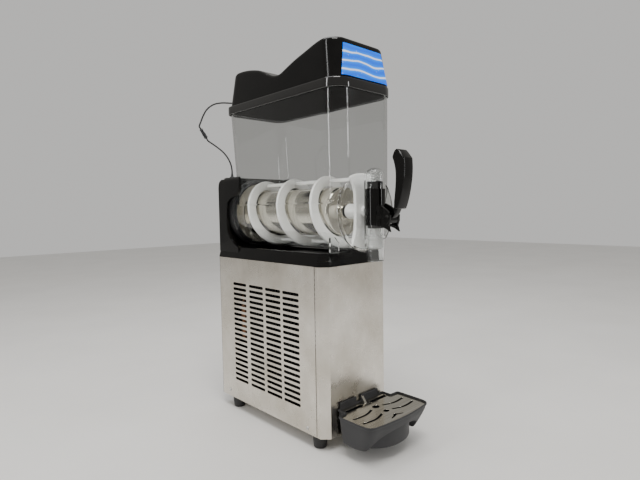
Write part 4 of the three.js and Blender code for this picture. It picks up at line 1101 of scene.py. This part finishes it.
def make_screws():
    for side, word in ((-1, "left"), (1, "right")):
        for y, z, end in ((160, 44, "rear"), (-139, 40, "front")):
            x = side * SHEET_OUT
            profile = [(0.001, 1.1), (1.2, 1.1), (1.5, 1.45), (2.8, 1.45), (3.7, 1.0), (4.0, 0.35), (2.0, 0.32),
                       (2.0, -7), (0.001, -7)]
            screw = lathe_x("screw", [(r, x + side * d) for r, d in profile], y, z, 28, closed=False)
            slot = block("s", *sorted((x + side * 0.9, x + side * 3)), y - 0.45, y + 0.45, z - 2.2, z + 2.2)
            cross = block("s", *sorted((x + side * 0.9, x + side * 3)), y - 2.2, y + 2.2, z - 0.45, z + 0.45)
            cut(screw, slot, cross)
            finish(screw, f"screw_{word}_{end}_h", "cabinet", PLAIN, "polished_steel", f"screw_{word}_{end}")


def dress_rest():
    """Materials of the plainer CAD nodes, which stay as they are."""
    finishes = (
        (MATT, "mains_inlet switch_plate switch_power switch_mix switch_lamp fan_blade"),
        (PLAIN, "tray_hook gear_motor motor_plate drive_shaft"), (GLOSS, "lever_pin"), (MILKY, "piston_seal"),
        (PAINTED, "compressor condenser fan_shroud fan_motor control_box"), (RUBBER, "shaft_seal"),
        (COPPER, "filter_drier suction_pipe liquid_pipe"), (WHITE, "lamp_board"))
    for material, nodes in finishes:
        for node in nodes.split():
            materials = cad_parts[node].data.materials
            materials.clear()
            materials.append(material)


# ------------------------------------------------------------------ studio
def area_light(name, where, target, size, power, tint=(1, 1, 1)):
    data = bpy.data.lights.new(name, "AREA")
    data.shape = "RECTANGLE"
    data.size, data.size_y = size
    data.energy = power
    data.color = tint
    obj = bpy.data.objects.new(name, data)
    obj.location = where
    obj.rotation_euler = (Vector(target) - Vector(where)).to_track_quat("-Z", "Y").to_euler()
    bpy.context.scene.collection.objects.link(obj)


def make_studio():
    """Pale paper floor and plain pale surroundings, which polished things mirror darker than they light."""
    floor = raw("floor", [(-6, -6, 0), (6, -6, 0), (6, 6, 0), (-6, 6, 0)], [(0, 1, 2, 3)])
    m, t, s = shader("floor_paper", Roughness=0.7)
    t.links.new(ramp(t, noise(t, coords(t), 3.0, 3.0), [(0.3, (0.74, 0.73, 0.71)), (0.7, (0.78, 0.77, 0.75))]),
                s.inputs["Base Color"])
    floor.data.materials.append(m)
    floor.location.z = -0.0002
    world = bpy.data.worlds.new("studio")
    world.use_nodes = True
    tree = world.node_tree
    plain = tree.nodes["Background"]
    plain.inputs["Color"].default_value = (0.80, 0.79, 0.77, 1)
    plain.inputs["Strength"].default_value = 0.75
    dim = add(tree, "ShaderNodeBackground")
    dim.inputs["Color"].default_value = (0.80, 0.78, 0.74, 1)
    dim.inputs["Strength"].default_value = 0.42
    ray = add(tree, "ShaderNodeLightPath")
    mix = add(tree, "ShaderNodeMixShader")
    tree.links.new(ray.outputs["Is Glossy Ray"], mix.inputs[0])
    tree.links.new(plain.outputs[0], mix.inputs[1])
    tree.links.new(dim.outputs[0], mix.inputs[2])
    tree.links.new(mix.outputs[0], tree.nodes["World Output"].inputs["Surface"])
    bpy.context.scene.world = world
    area_light("key", (-0.8, -1.0, 3.1), (0, 0, 0.4), (1.2, 1.2), 58, (1.0, 0.98, 0.95))
    area_light("left strip", (-2.2, 0.35, 1.35), (0, 0, 0.5), (0.2, 2.2), 14)
    area_light("front strip", (1.0, -2.2, 0.85), (0, 0, 0.5), (0.2, 1.0), 6)
    area_light("top", (0, 0.4, 2.4), (0, 0, 0.5), (1.6, 1.0), 18)


make_camera()
make_leads()
make_bowl()
make_hood()
make_sign()
make_lid_base()
make_cylinder()
make_gasket()
make_auger()
make_tap()
make_tray()
make_grid()
make_cabinet()
make_screws()
dress_rest()
make_studio()
